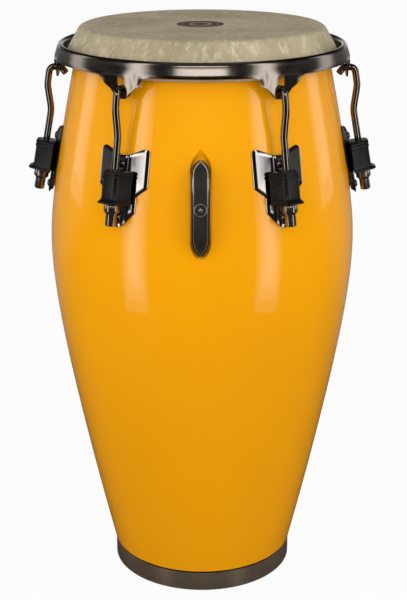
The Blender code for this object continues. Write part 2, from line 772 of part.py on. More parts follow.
def nut_plate_mesh():
    # A strip behind the shell wall with the two screws' nuts welded on.
    face = backing_face()
    back = face - BACKING_THICKNESS
    low = SCREW_PLACES[1] - BACKING_MARGIN
    high = SCREW_PLACES[0] + BACKING_MARGIN
    strip = bmesh.new()
    add_bar(strip, (back, -BACKING_WIDTH / 2, low), (face, BACKING_WIDTH / 2, high))
    item = add_object("nut_strip", to_mesh(strip, "nut_strip", False), parts, steel)
    turn = Matrix.Rotation(math.pi / 2, 3, "Y")
    nuts = bmesh.new()
    holes = bmesh.new()
    radius = clear_radius(SCREW_RADIUS, HOLE_SIDES)
    for place in SCREW_PLACES:
        loops = []
        for along in (back - PLATE_NUT_HEIGHT, back + BACKING_THICKNESS / 4):
            seat = Vector((along, 0.0, place))
            loops.append([seat + turn @ Vector(p) for p in hex_loop(PLATE_NUT_FLATS, 0.0)[::2]])
        add_loft(nuts, loops)
        ends = (back - 2 * PLATE_NUT_HEIGHT, face + BACKING_THICKNESS)
        add_loft(holes, [circle_loop(radius, x, HOLE_SIDES, "X", (0.0, place)) for x in ends])
    add_boolean(item, add_cutter("strip_nuts", to_mesh(nuts, "strip_nuts", False)), "UNION")
    add_boolean(item, add_cutter("strip_holes", to_mesh(holes, "strip_holes", False)))
    return finished_mesh(item, "nut_plate")


def plate_screw_mesh():
    # Dome head on the side plate, shank through to the nut behind the shell.
    face = STRIP_FACE + GAP
    tail = backing_face() - BACKING_THICKNESS - PLATE_NUT_HEIGHT - SCREW_TAIL
    profile = (
        (SCREW_HEAD * 0.6, face + SCREW_DOME), (SCREW_HEAD, face),
        (SCREW_RADIUS, face), (SCREW_RADIUS, tail),
    )
    shape = bmesh.new()
    add_loft(shape, [circle_loop(radius, x, SCREW_SIDES, "X") for radius, x in profile])
    return to_mesh(shape, "plate_screw")


def make_lugs():
    empties = make_lug_empties()
    meshes = {
        "side_plate": (plate_mesh(), black_nickel),
        "lug_cushion": (cushion_mesh(), rubber),
        "lug_bushing": (bushing_mesh(), steel),
        "lug_hook": (hook_mesh(), black_nickel),
        "tuning_nut": (nut_mesh(), black_nickel),
        "nut_plate": (nut_plate_mesh(), steel),
    }
    screw = plate_screw_mesh()
    for index, empty in enumerate(empties, start=1):
        for name, (mesh, material) in meshes.items():
            add_object(f"{name}_{index}", mesh, parts, material, parent=empty)
        for name, place in zip(("upper_screw", "lower_screw"), SCREW_PLACES):
            item = add_object(f"{name}_{index}", screw, parts, black_nickel, parent=empty)
            item.location.z = place


# Handle and its recess, drawn in the handle's own frame on the front of the shell

def handle_slant():
    step = 0.001
    rise = shell_radius(HANDLE_HEIGHT + step) - shell_radius(HANDLE_HEIGHT - step)
    return math.atan(-rise / (2 * step))


def handle_frame():
    turn = Matrix.Rotation(-math.pi / 2, 4, "Z")
    lean = Matrix.Rotation(-handle_slant(), 4, "Y")
    return turn @ Matrix.Translation((shell_radius(HANDLE_HEIGHT), 0.0, HANDLE_HEIGHT)) @ lean


def pointed_outline(length, width, point):
    # A bar with two arched points: sideways, up.
    half = width / 2
    straight = length / 2 - point
    arch = (half * half + point * point) / (2 * half)
    right = []
    for share in (0.0, 0.4, 0.75):
        up = point * share
        right.append((math.sqrt(arch * arch - up * up) - (arch - half), straight + up))
    upper = right + [(0.0, length / 2)] + [(-across, up) for across, up in reversed(right)]
    return upper + [(-across, -up) for across, up in upper]


def recess_mesh(beside, below, top):
    # The pointed hollow; beside and below make it larger for the moulded wall round it.
    floor = -RECESS_DEPTH - below
    wide = pointed_outline(RECESS_LENGTH + 2 * beside, RECESS_WIDTH + 2 * beside, RECESS_POINT)
    shrink = 2 * (beside - RECESS_TAPER)
    deep = pointed_outline(handle_seat_length() + 2 * beside, RECESS_WIDTH + shrink, HANDLE_POINT)
    shape = bmesh.new()
    loops = [[(x, y, z) for y, z in outline] for x, outline in ((floor, deep), (0.0, wide))]
    if top > 0.0:
        loops.append([(top, y, z) for y, z in wide])
    else:
        loops[1] = [(top, y, z) for y, z in wide]
    add_loft(shape, loops)
    return to_mesh(shape, "recess", smooth=False)


def handle_seat_length():
    return HANDLE_LENGTH + 2 * RECESS_TAPER


def bolt_hole_mesh():
    shape = bmesh.new()
    radius = clear_radius(HANDLE_BOLT, HOLE_SIDES)
    far = -RECESS_DEPTH + GAP + HANDLE_BOLT_DEPTH
    near = -RECESS_DEPTH - 2 * SHELL_WALL
    for place in (-HANDLE_BOLT_PLACE, HANDLE_BOLT_PLACE):
        add_loft(shape, [circle_loop(radius, x, HOLE_SIDES, "X", (0.0, place)) for x in (near, far)])
    return to_mesh(shape, "handle_bolt_holes", smooth=False)


def handle_bolt_mesh():
    back = -RECESS_DEPTH - SHELL_WALL - GAP
    tip = -RECESS_DEPTH + HANDLE_BOLT_DEPTH - GAP
    profile = (
        (BOLT_HEAD, back - BOLT_HEAD_HEIGHT), (BOLT_HEAD, back),
        (HANDLE_BOLT, back), (HANDLE_BOLT, tip),
    )
    shape = bmesh.new()
    add_loft(shape, [circle_loop(radius, x, SCREW_SIDES, "X") for radius, x in profile])
    return to_mesh(shape, "handle_bolt")


def face_depth(up):
    # The face is an arc, highest in the middle.
    half = HANDLE_LENGTH / 2
    radius = (half * half + HANDLE_BOW * HANDLE_BOW) / (2 * HANDLE_BOW)
    return HANDLE_STANDOFF - radius + math.sqrt(radius * radius - up * up)


def handle_stations():
    # From the middle to one tip: place along the bar, half width and the back's depth.
    seat = -RECESS_DEPTH + GAP
    half = HANDLE_WIDTH / 2
    flat = FINGER_LENGTH / 2 - FINGER_ROUND
    stations = [(flat * i / 2, half, face_depth(flat * i / 2) - HANDLE_BAR) for i in range(3)]
    for angle in (math.radians(35), math.radians(80)):
        up = flat + FINGER_ROUND * math.sin(angle)
        fall = FINGER_ROUND * (1 - math.cos(angle))
        stations.append((up, half, face_depth(up) - HANDLE_BAR - fall))
    stations.append((FINGER_LENGTH / 2 + FINGER_DRAFT, half, seat))
    for across, up in pointed_outline(HANDLE_LENGTH, HANDLE_WIDTH, HANDLE_POINT)[:3]:
        stations.append((up, across, seat))
    stations.append((HANDLE_LENGTH / 2, HANDLE_TIP / 2, seat))
    return stations


def handle_section(up, half, back):
    face = face_depth(up)
    inset = min(HANDLE_BEVEL, half * 0.8)
    return [
        (back, -half, up), (back, half, up), (face - HANDLE_BEVEL, half, up),
        (face, half - inset, up), (face, inset - half, up), (face - HANDLE_BEVEL, -half, up),
    ]


def make_handle():
    empty = bpy.data.objects.new("handle_place", None)
    empty.matrix_world = handle_frame()
    parts.objects.link(empty)
    upper = handle_stations()
    lower = [(-up, half, back) for up, half, back in reversed(upper[1:])]
    shape = bmesh.new()
    add_loft(shape, [handle_section(*station) for station in lower + upper])
    handle = add_object("handle", to_mesh(shape, "handle"), parts, black_nickel, parent=empty)
    add_boolean(handle, bpy.data.objects["handle_bolt_holes"])
    bolt = handle_bolt_mesh()
    for name, place in (("upper", HANDLE_BOLT_PLACE), ("lower", -HANDLE_BOLT_PLACE)):
        item = add_object(f"handle_bolt_{name}", bolt, parts, steel, parent=empty)
        item.location.z = place


clear_scene()
parts = make_collection("Conga")
cutters = make_collection("Cutters")
lacquer = make_material("yellow_lacquer", (0.90, 0.37, 0.01), 0.12, 0.0)
hide = make_material("hide", (0.33, 0.27, 0.18), 0.65, 0.0)
black_nickel = make_material("black_nickel", (0.10, 0.09, 0.08), 0.12, 1.0)
steel = make_material("zinc_steel", (0.55, 0.55, 0.55), 0.35, 1.0)
rubber = make_material("black_rubber", (0.02, 0.02, 0.02), 0.55, 0.0)
band_metal = make_material("brown_steel", (0.10, 0.08, 0.05), 0.35, 0.9)

make_shell()
make_head()
make_foot()
make_rim()
make_lugs()
make_handle()
bpy.context.view_layer.update()
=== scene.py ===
import math

import bmesh
import bpy
from mathutils import Matrix, Vector


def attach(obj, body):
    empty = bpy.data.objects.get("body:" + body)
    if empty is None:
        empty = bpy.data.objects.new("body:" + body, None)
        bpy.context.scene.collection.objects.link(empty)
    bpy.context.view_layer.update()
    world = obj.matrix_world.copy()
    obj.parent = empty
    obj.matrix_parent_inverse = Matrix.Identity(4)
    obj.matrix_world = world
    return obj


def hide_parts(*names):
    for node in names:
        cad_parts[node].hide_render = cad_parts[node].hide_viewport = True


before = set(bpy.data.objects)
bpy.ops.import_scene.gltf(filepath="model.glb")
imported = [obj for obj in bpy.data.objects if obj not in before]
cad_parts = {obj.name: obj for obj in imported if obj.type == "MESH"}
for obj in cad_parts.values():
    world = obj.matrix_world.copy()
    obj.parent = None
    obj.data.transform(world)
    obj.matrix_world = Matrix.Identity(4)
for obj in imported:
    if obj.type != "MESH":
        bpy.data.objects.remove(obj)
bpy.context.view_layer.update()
print("conga: frame loaded")


# Node helpers: an input is a value or another node's output

def addNode(tree, kind, inputs=None, **settings):
    node = tree.nodes.new(kind)
    for key, value in settings.items():
        setattr(node, key, value)
    for key, value in (inputs or {}).items():
        if isinstance(value, bpy.types.NodeSocket):
            tree.links.new(value, node.inputs[key])
        else:
            node.inputs[key].default_value = value
    return node


def combine(tree, how, first, second):
    return addNode(tree, "ShaderNodeMath", {0: first, 1: second}, operation=how).outputs[0]


def spread(tree, value, fromMin, fromMax, toMin, toMax, ease="LINEAR"):
    return addNode(tree, "ShaderNodeMapRange", {
        "Value": value, "From Min": fromMin, "From Max": fromMax, "To Min": toMin,
        "To Max": toMax}, interpolation_type=ease).outputs[0]


def blend(tree, share, first, second):
    return addNode(tree, "ShaderNodeMix", {"Factor": share, "A": first, "B": second}).outputs[0]


def blendColour(tree, share, first, second):
    first, second = [(*c, 1.0) if isinstance(c, tuple) else c for c in (first, second)]
    return addNode(tree, "ShaderNodeMix", {"Factor": share, 6: first, 7: second},
                   data_type="RGBA").outputs[2]


def layered(tree, colour, *layers):
    # Lays tints over a colour; each layer is (pattern, from, to, strength, tint).
    for pattern, low, high, strength, tint in layers:
        colour = blendColour(tree, spread(tree, pattern, low, high, 0.0, strength), colour, tint)
    return colour


# Studio: camera, lamps, floor and world

studio = {
    "cameraPlace": (0.0172, -1.795, 0.995),
    "cameraTurn": 0.55,
    "cameraDown": 18.8,          # degrees below the horizon
    "lens": 82.2,
    "shift": 0.0022,
    "panelTurn": 45.5,           # tall panels on either side of the camera, degrees
    "panelDistance": 0.95,
    "panelWidths": (0.31, 0.24, 0.175, 0.11),    # narrower sheets over wider ones
    "panelHeight": 1.42,
    "panelFoot": 0.02,
    "panelLight": 0.82,          # radiance of each sheet
    "sideTurn": 106.0,           # dimmer panels beside the drum
    "sideDistance": 1.5,
    "sideWidths": (0.50, 0.32),
    "sideHeight": 1.10,
    "sideFoot": 0.42,
    "sideLight": 0.75,
    "sheetLift": 0.07,           # each sheet of a panel starts this much higher
    "sheetGap": 0.002,
    "frontPlace": (0.0, -1.30, 1.16),    # box over the camera, for the rim
    "frontAim": (0.0, 0.0, 0.73),
    "frontSize": (0.86, 0.26),
    "frontLight": 4.2,
    "topPlace": (0.0, -0.2, 2.5),
    "topAim": (0.0, 0.0, 0.7),
    "topSize": (1.7, 1.7),
    "topLight": 0.19,
    "ambientLow": 1.44,          # soft light from the horizon ...
    "ambientHigh": 0.10,         # ... and from overhead
    "frontGrey": 0.015,          # what polished metal sees on the camera's side
    "sideGrey": 0.15,            # ... and at the sides
    "dimTo": (-0.80, -0.40),     # from front to side, over this span towards the back
    "dimTop": (0.06, 0.35),      # the grey fades over this height ...
    "dimLow": 0.12,              # ... to this share
    "whiteTo": (0.80, 1.00),     # white starts over this span towards the back
    "backTop": (0.05, 0.26),     # ... and fades over this height ...
    "backLow": 0.06,             # ... to this share
    "floorSize": 40.0,
    "floorSpan": (0.25, 1.20),   # across this span towards the back, metal sees the floor ...
    "floorTones": (0.05, 0.38),  # ... go from dark to pale
    "floorSoft": 0.48,           # how much soft light it throws back
    "floorSeen": 0.86,           # its tone for the camera ...
    "floorGlow": 0.93,           # ... of which this share is plain white
}


def addCamera():
    data = bpy.data.cameras.new("camera")
    data.lens = studio["lens"]
    data.shift_x = studio["shift"]
    camera = bpy.data.objects.new("camera", data)
    camera.location = studio["cameraPlace"]
    camera.rotation_euler = (math.radians(90 - studio["cameraDown"]), 0.0,
                             math.radians(studio["cameraTurn"]))
    bpy.context.scene.collection.objects.link(camera)
    bpy.context.scene.camera = camera


def addLamp(name, place, aim, size, radiance):
    data = bpy.data.lights.new(name, "AREA")
    data.shape = "RECTANGLE"
    data.size, data.size_y = size
    data.energy = radiance * math.pi * size[0] * size[1]
    lamp = bpy.data.objects.new(name, data)
    lamp.visible_camera = False
    lamp.location = place
    lamp.rotation_euler = (Vector(aim) - Vector(place)).to_track_quat("-Z", "Y").to_euler()
    bpy.context.scene.collection.objects.link(lamp)


def addPanels(kind):
    # The sheets of a panel start higher one after another, which fades its lower end.
    turn, distance, widths, height, foot, light = [
        studio[kind + key] for key in ("Turn", "Distance", "Widths", "Height", "Foot", "Light")]
    for side, label in ((-1, "Left"), (1, "Right")):
        angle = math.radians(turn) * side
        place = (distance * math.sin(angle), -distance * math.cos(angle))
        for layer, width in enumerate(widths):
            back = 1 + studio["sheetGap"] * (len(widths) - layer)
            lift = studio["sheetLift"] * layer
            middle = foot + (height + lift) / 2
            addLamp(f"{kind}{label}{layer + 1}", (place[0] * back, place[1] * back, middle),
                    (0.0, 0.0, middle), (width, height - lift), light)


def addWorld():
    # The camera sees white, polished pieces see dim sides and a white back.
    world = bpy.data.worlds.new("studio")
    bpy.context.scene.world = world
    world.use_nodes = True
    tree = world.node_tree
    tree.nodes.clear()
    coords = addNode(tree, "ShaderNodeTexCoord").outputs["Generated"]
    split = addNode(tree, "ShaderNodeSeparateXYZ", {0: coords}).outputs
    path = addNode(tree, "ShaderNodeLightPath").outputs
    white = combine(tree, "MULTIPLY",
                    spread(tree, split["Y"], *studio["whiteTo"], 0.0, 1.0, "SMOOTHSTEP"),
                    spread(tree, split["Z"], *studio["backTop"], 1.0, studio["backLow"],
                           "SMOOTHSTEP"))
    grey = combine(tree, "MULTIPLY",
                   spread(tree, split["Y"], *studio["dimTo"], studio["frontGrey"],
                          studio["sideGrey"], "SMOOTHSTEP"),
                   spread(tree, split["Z"], *studio["dimTop"], 1.0, studio["dimLow"]))
    soft = spread(tree, split["Z"], 0.0, 1.0, studio["ambientLow"], studio["ambientHigh"])
    shine = combine(tree, "MAXIMUM", path["Is Glossy Ray"], path["Is Transmission Ray"])
    seen = blend(tree, shine, soft, combine(tree, "MAXIMUM", white, grey))
    back = addNode(tree, "ShaderNodeBackground", {
        "Color": (1.0, 1.0, 1.0, 1.0), "Strength": blend(tree, path["Is Camera Ray"], seen, 1.0)})
    addNode(tree, "ShaderNodeOutputWorld", {0: back.outputs[0]})


def addFloor():
    half = studio["floorSize"] / 2
    mesh = bpy.data.meshes.new("floor")
    mesh.from_pydata([(-half, -half, 0), (half, -half, 0), (half, half, 0), (-half, half, 0)],
                     [], [(0, 1, 2, 3)])
    floor = bpy.data.objects.new("floor", mesh)
    bpy.context.scene.collection.objects.link(floor)
    material = bpy.data.materials.new("paleFloor")
    material.use_nodes = True
    tree = material.node_tree
    tree.nodes.clear()
    path = addNode(tree, "ShaderNodeLightPath").outputs
    coords = addNode(tree, "ShaderNodeTexCoord").outputs["Object"]
    depth = addNode(tree, "ShaderNodeSeparateXYZ", {0: coords}).outputs["Y"]
    fade = spread(tree, depth, *studio["floorSpan"], *studio["floorTones"], "SMOOTHSTEP")
    soft = blend(tree, path["Is Diffuse Ray"], fade, studio["floorSoft"])
    tone = blend(tree, path["Is Camera Ray"], soft, studio["floorSeen"])
    matt = addNode(tree, "ShaderNodeBsdfDiffuse", {"Color": tone})
    glow = addNode(tree, "ShaderNodeEmission", {"Color": (1.0, 1.0, 1.0, 1.0), "Strength": 1.0})
    mix = addNode(tree, "ShaderNodeMixShader", {
        0: combine(tree, "MULTIPLY", path["Is Camera Ray"], studio["floorGlow"]),
        1: matt.outputs[0], 2: glow.outputs[0]})
    addNode(tree, "ShaderNodeOutputMaterial", {0: mix.outputs[0]})
    mesh.materials.append(material)


addCamera()
addPanels("panel")
addPanels("side")
for box in ("front", "top"):
    addLamp(box + "Box", studio[box + "Place"], studio[box + "Aim"], studio[box + "Size"],
            studio[box + "Light"])
addWorld()
addFloor()
bpy.context.scene.view_settings.view_transform = "Standard"
print("conga: studio set")


# Finishes

def newMaterial(name, look):
    material = bpy.data.materials.new(name)
    material.use_nodes = True
    tree = material.node_tree
    shader = tree.nodes["Principled BSDF"].inputs
    for socket, value in look.items():
        shader[socket].default_value = value
    return material, tree, shader


def objectCoords(tree, scale=(1.0, 1.0, 1.0)):
    coords = addNode(tree, "ShaderNodeTexCoord").outputs["Object"]
    return addNode(tree, "ShaderNodeMapping", {"Vector": coords, "Scale": scale}).outputs[0]


def noise(tree, coords, scale, detail=4.0, rough=0.55):
    return addNode(tree, "ShaderNodeTexNoise", {
        "Vector": coords, "Scale": scale, "Detail": detail, "Roughness": rough}).outputs["Fac"]


def drive(tree, shader, colour, rough=None):
    tree.links.new(colour, shader["Base Color"])
    if rough is not None:
        tree.links.new(rough, shader["Roughness"])


def addBump(tree, shader, height, strength, distance, under=None):
    inputs = {"Height": height, "Strength": strength, "Distance": distance}
    if under is not None:
        inputs["Normal"] = under
    bump = addNode(tree, "ShaderNodeBump", inputs).outputs[0]
    tree.links.new(bump, shader["Normal"])
    return bump


def lacquerFinish():
    material, tree, shader = newMaterial("yellowLacquer", {
        "Roughness": 0.34, "Coat Weight": 0.85, "Coat Roughness": 0.06, "IOR": 1.45,
        "Specular IOR Level": 0.05})
    coords = objectCoords(tree)
    cloud = noise(tree, coords, 5.0, 3.0)
    dust = noise(tree, coords, 900.0, 2.0)
    drive(tree, shader, layered(tree, (0.88, 0.355, 0.0004),
                                (cloud, 0.35, 0.65, 1.0, (0.91, 0.372, 0.0006)),
                                (dust, 0.76, 0.82, 0.08, (0.95, 0.62, 0.20))))
    wave = addBump(tree, shader, noise(tree, coords, 16.0, 1.0), 0.10, 0.0010)
    addBump(tree, shader, noise(tree, coords, 170.0, 2.0), 0.035, 0.0003, wave)
    return material


def laminateFinish():
    # The bare inside of the moulded shell: resin with short strands in it.
    material, tree, shader = newMaterial("shellInside", {"Roughness": 0.62})
    strands = combine(tree, "MAXIMUM",
                      noise(tree, objectCoords(tree, (1.0, 1.0, 6.0)), 55.0, 6.0, 0.7),
                      noise(tree, objectCoords(tree, (5.0, 5.0, 1.0)), 60.0, 6.0, 0.7))
    patch = noise(tree, objectCoords(tree), 9.0, 3.0)
    drive(tree, shader, layered(tree, (0.20, 0.15, 0.07),
                                (strands, 0.45, 0.72, 1.0, (0.48, 0.40, 0.26)),
                                (patch, 0.4, 0.7, 0.35, (0.16, 0.12, 0.07))))
    addBump(tree, shader, strands, 0.55, 0.0010)
    return material


headLook = {
    "top": 0.7612,               # above this the skin is the playing surface
    "badge": 0.0310,             # radius of the plain printed disc near the middle
    "badgePlace": (0.0024, 0.0024, 0.0),
    "badgeRings": ((0.0100, 0.0150, 0.55), (0.0225, 0.0238, 0.45)),
    "badgeEdge": 0.0004,
}


def badgeMark(tree, coords):
    # A plain dark disc with paler rings in it, printed flat on the playing surface.
    shifted = addNode(tree, "ShaderNodeMapping", {"Vector": coords,
                                                  "Location": headLook["badgePlace"]})
    place = addNode(tree, "ShaderNodeSeparateXYZ", {0: shifted.outputs[0]}).outputs
    across = addNode(tree, "ShaderNodeCombineXYZ", {0: place[0], 1: place[1]})
    radius = addNode(tree, "ShaderNodeVectorMath", {0: across.outputs[0]},
                     operation="LENGTH").outputs["Value"]
    top, badge, edge = headLook["top"], headLook["badge"], headLook["badgeEdge"]
    mark = spread(tree, radius, badge - edge, badge, 1.0, 0.0)
    for inner, outer, strength in headLook["badgeRings"]:
        ring = combine(tree, "MAXIMUM",
                       spread(tree, radius, inner - edge, inner, 1.0, 1.0 - strength),
                       spread(tree, radius, outer, outer + edge, 1.0 - strength, 1.0))
        mark = combine(tree, "MULTIPLY", mark, ring)
    mark = combine(tree, "MULTIPLY", mark, spread(tree, place[2], top, top + edge / 2, 0.0, 1.0))
    worn = spread(tree, noise(tree, coords, 300.0, 4.0), 0.35, 0.60, 0.86, 1.0)
    return combine(tree, "MULTIPLY", mark, worn)


def hideFinish():
    material, tree, shader = newMaterial("hideSkin", {"Roughness": 0.62,
                                                      "Specular IOR Level": 0.30})
    coords = objectCoords(tree)
    cloud = noise(tree, coords, 11.0, 6.0, 0.62)
    streak = noise(tree, objectCoords(tree, (1.0, 1.0, 0.16)), 115.0, 5.0, 0.70)
    speck = noise(tree, coords, 420.0, 3.0, 0.7)
    pit = noise(tree, coords, 240.0, 4.0, 0.75)
    colour = layered(tree, (0.355, 0.288, 0.172),
                     (cloud, 0.34, 0.66, 1.0, (0.505, 0.425, 0.275)),
                     (streak, 0.51, 0.70, 0.70, (0.74, 0.65, 0.48)),
                     (speck, 0.60, 0.72, 0.55, (0.70, 0.65, 0.54)),
                     (pit, 0.60, 0.74, 0.50, (0.13, 0.10, 0.06)))
    colour = blendColour(tree, badgeMark(tree, coords), colour, (0.040, 0.028, 0.018))
    drive(tree, shader, colour, spread(tree, streak, 0.3, 0.8, 0.52, 0.74))
    under = addBump(tree, shader, pit, 0.30, 0.0006)
    addBump(tree, shader, cloud, 0.20, 0.0025, under)
    return material


def clouded(tree, pattern, tint, dark, pale):
    # The tint, from a darker to a paler share of it.
    return layered(tree, tuple(v * dark for v in tint),
                   (pattern, 0.3, 0.7, 1.0, tuple(v * pale for v in tint)))


def polishedFinish(name, tint, low, high):
    # Plated metal: mirror bright, with faint cloudy smears and hairlines in the polish.
    material, tree, shader = newMaterial(name, {"Metallic": 1.0, "Base Color": (*tint, 1.0)})
    coords = objectCoords(tree)
    cloud = noise(tree, coords, 26.0, 5.0, 0.6)
    hair = noise(tree, objectCoords(tree, (0.12, 0.12, 1.0)), 1500.0, 2.0)
    rough = combine(tree, "ADD", spread(tree, cloud, 0.35, 0.70, low, high),
                    spread(tree, hair, 0.55, 0.80, 0.0, 0.05))
    drive(tree, shader, clouded(tree, cloud, tint, 0.86, 1.0), rough)
    addBump(tree, shader, noise(tree, coords, 45.0, 2.0), 0.05, 0.0004)
    return material


def rubberFinish(name, tint, rough, pebble):
    material, tree, shader = newMaterial(name, {"Specular IOR Level": 0.26})
    coords = objectCoords(tree)
    cloud = noise(tree, coords, 60.0, 4.0)
    drive(tree, shader, clouded(tree, cloud, tint, 0.7, 1.4),
          spread(tree, cloud, 0.3, 0.7, rough - 0.06, rough + 0.08))
    addBump(tree, shader, noise(tree, coords, pebble, 3.0), 0.18, 0.0002)
    return material


def brushedFinish(name, tint, rough, metallic=1.0):
    # Metal brushed round the drum's axis, which draws its highlights out along the axis.
    material, tree, shader = newMaterial(name, {"Metallic": metallic, "Anisotropic": 0.95,
                                                "Anisotropic Rotation": 0.25})
    lines = noise(tree, objectCoords(tree, (0.02, 0.02, 1.0)), 1800.0, 3.0, 0.7)
    cloud = noise(tree, objectCoords(tree), 22.0, 4.0)
    drive(tree, shader, clouded(tree, lines, tint, 0.75, 1.2),
          spread(tree, cloud, 0.3, 0.7, rough - 0.06, rough + 0.08))
    addBump(tree, shader, lines, 0.12, 0.0002)
    return material


yellowLacquer = lacquerFinish()
shellInside = laminateFinish()
hideSkin = hideFinish()
rimNickel = polishedFinish("rimNickel", (0.22, 0.188, 0.160), 0.13, 0.22)
plateNickel = polishedFinish("plateNickel", (0.33, 0.305, 0.285), 0.06, 0.12)
rodNickel = polishedFinish("rodNickel", (0.22, 0.185, 0.155), 0.08, 0.16)
nutNickel = polishedFinish("nutNickel", (0.36, 0.30, 0.25), 0.20, 0.30)
screwNickel = polishedFinish("screwNickel", (0.22, 0.19, 0.165), 0.10, 0.20)
handleNickel = polishedFinish("handleNickel", (0.15, 0.132, 0.115), 0.10, 0.20)
handlePanel = rubberFinish("handlePanel", (0.020, 0.014, 0.010), 0.60, 500.0)
cushionRubber = rubberFinish("cushionRubber", (0.006, 0.005, 0.004), 0.30, 1100.0)
edgeNickel = polishedFinish("edgeNickel", (0.50, 0.46, 0.42), 0.34, 0.44)
baseRubber = rubberFinish("baseRubber", (0.018, 0.017, 0.016), 0.62, 700.0)
bandMetal = brushedFinish("bandMetal", (0.165, 0.122, 0.082), 0.40, 0.52)
zincSteel = brushedFinish("zincSteel", (0.55, 0.55, 0.54), 0.36)
print("conga: finishes made")


# Shapes shared by several pieces

def splineThrough(points):
    # Natural cubic spline through (height, radius) points, returned as a function.
    count = len(points)
    xs = [point[0] for point in points]
    ys = [point[1] for point in points]
    steps = [xs[i + 1] - xs[i] for i in range(count - 1)]
    weight = [0.0] * count
    bend = [0.0] * count
    for i in range(1, count - 1):
        change = (ys[i + 1] - ys[i]) / steps[i] - (ys[i] - ys[i - 1]) / steps[i - 1]
        pivot = 2 * (xs[i + 1] - xs[i - 1]) - steps[i - 1] * weight[i - 1]
        weight[i] = steps[i] / pivot
        bend[i] = (6 * change - steps[i - 1] * bend[i - 1]) / pivot
    for i in range(count - 2, 0, -1):
        bend[i] -= weight[i] * bend[i + 1]

    def value(x):
        i = max(k for k in range(count - 1) if k == 0 or xs[k] <= x)
        h = steps[i]
        a = (xs[i + 1] - x) / h
        b = (x - xs[i]) / h
        curved = ((a ** 3 - a) * bend[i] + (b ** 3 - b) * bend[i + 1]) * h * h / 6
        return a * ys[i] + b * ys[i + 1] + curved

    return value


def arcPoints(centre, radius, start, end, count):
    points = []
    for i in range(count):
        angle = math.radians(start + (end - start) * i / (count - 1))
        points.append((centre[0] + radius * math.cos(angle), centre[1] + radius * math.sin(angle)))
    return points


def roundedCorner(before, corner, after, radius, count):
    corner = Vector(corner)
    toBefore = (Vector(before) - corner).normalized()
    toAfter = (Vector(after) - corner).normalized()
    half = toBefore.angle(toAfter) / 2
    centre = corner + (toBefore + toAfter).normalized() * (radius / math.sin(half))
    start = corner + toBefore * (radius / math.tan(half)) - centre
    end = corner + toAfter * (radius / math.tan(half)) - centre
    points = []
    for i in range(count):
        spoke = start.lerp(end, i / (count - 1)).normalized() * radius
        points.append(tuple(centre + spoke))
    return points


def roundedOutline(corners, radius, count=4):
    points = []
    for i, corner in enumerate(corners):
        points += roundedCorner(corners[i - 1], corner, corners[(i + 1) % len(corners)], radius,
                                count)
    return points


def insetOutline(points, distance):
    # The outline moved inwards by a distance; it runs anticlockwise.
    moved = []
    for i, point in enumerate(points):
        before = Vector(point) - Vector(points[i - 1])
        after = Vector(points[(i + 1) % len(points)]) - Vector(point)
        first = Vector((-before.y, before.x)).normalized()
        second = Vector((-after.y, after.x)).normalized()
        inward = (first + second).normalized()
        moved.append(tuple(Vector(point) + inward * distance / max(inward.dot(first), 0.3)))
    return moved


def smoothMesh(mesh, sharp):
    mesh.shade_smooth()
    mesh.set_sharp_from_angle(angle=math.radians(sharp))
    return mesh


def finishShape(shape, sharp=35.0):
    bmesh.ops.remove_doubles(shape, verts=shape.verts, dist=0.000002)
    bmesh.ops.recalc_face_normals(shape, faces=shape.faces)
    mesh = bpy.data.meshes.new("shape")
    shape.to_mesh(mesh)
    shape.free()
    return smoothMesh(mesh, sharp)


def addLoops(shape, loops, closed=False):
    # Bridges loops of equal count; closed joins the last to the first, or both are capped.
    rings = [[shape.verts.new(point) for point in loop] for loop in loops]
    for low, high in zip(rings, rings[1:] + rings[:1] if closed else rings[1:]):
        for i in range(len(low)):
            j = (i + 1) % len(low)
            shape.faces.new((low[i], low[j], high[j], high[i]))
    if not closed:
        shape.faces.new(list(reversed(rings[0])))
        shape.faces.new(rings[-1])
    return rings


def loopMesh(loops, sharp=35.0, closed=False):
    shape = bmesh.new()
    addLoops(shape, loops, closed)
    return finishShape(shape, sharp)


def circle(radius, count, turn=0.0):
    return [(radius * math.cos(2 * math.pi * i / count + turn),
             radius * math.sin(2 * math.pi * i / count + turn)) for i in range(count)]


def loopsAt(outline, heights):
    return [[(x, y, z) for x, y in outline] for z in heights]


def blockMesh(middle, size):
    block = bmesh.new()
    bmesh.ops.create_cube(block, size=1.0, matrix=Matrix.Translation(middle)
                          @ Matrix.Diagonal((*size, 1.0)))
    return finishShape(block)


def turnedMesh(section, steps, sharp):
    # Turns a closed section of (radius, height) points about the drum's axis.
    shape = bmesh.new()
    columns = []
    for i in range(steps):
        angle = 2 * math.pi * i / steps
        columns.append([shape.verts.new((r * math.cos(angle), r * math.sin(angle), z))
                        for r, z in section])
    count = len(section)
    for i in range(steps):
        after = columns[(i + 1) % steps]
        for j in range(count):
            k = (j + 1) % count
            if section[j][0] > 0.0 or section[k][0] > 0.0:
                shape.faces.new((columns[i][j], after[j], after[k], columns[i][k]))
    bmesh.ops.remove_doubles(shape, verts=shape.verts, dist=0.000001)
    bmesh.ops.dissolve_degenerate(shape, edges=shape.edges, dist=0.0000001)
    return finishShape(shape, sharp)


def newObject(name, mesh, materials=()):
    # Clearing the materials also clears the faces' numbers, so only a full list is cleared.
    mesh.name = name
    piece = bpy.data.objects.new(name, mesh)
    bpy.context.scene.collection.objects.link(piece)
    if materials and len(mesh.materials):
        mesh.materials.clear()
    for material in materials:
        mesh.materials.append(material)
    return piece


def bakedMesh(piece):
    # The piece's mesh with its modifiers run; the piece itself is removed.
    bpy.context.view_layer.update()
    graph = bpy.context.evaluated_depsgraph_get()
    mesh = bpy.data.meshes.new_from_object(piece.evaluated_get(graph))
    bpy.data.objects.remove(piece, do_unlink=True)
    return mesh


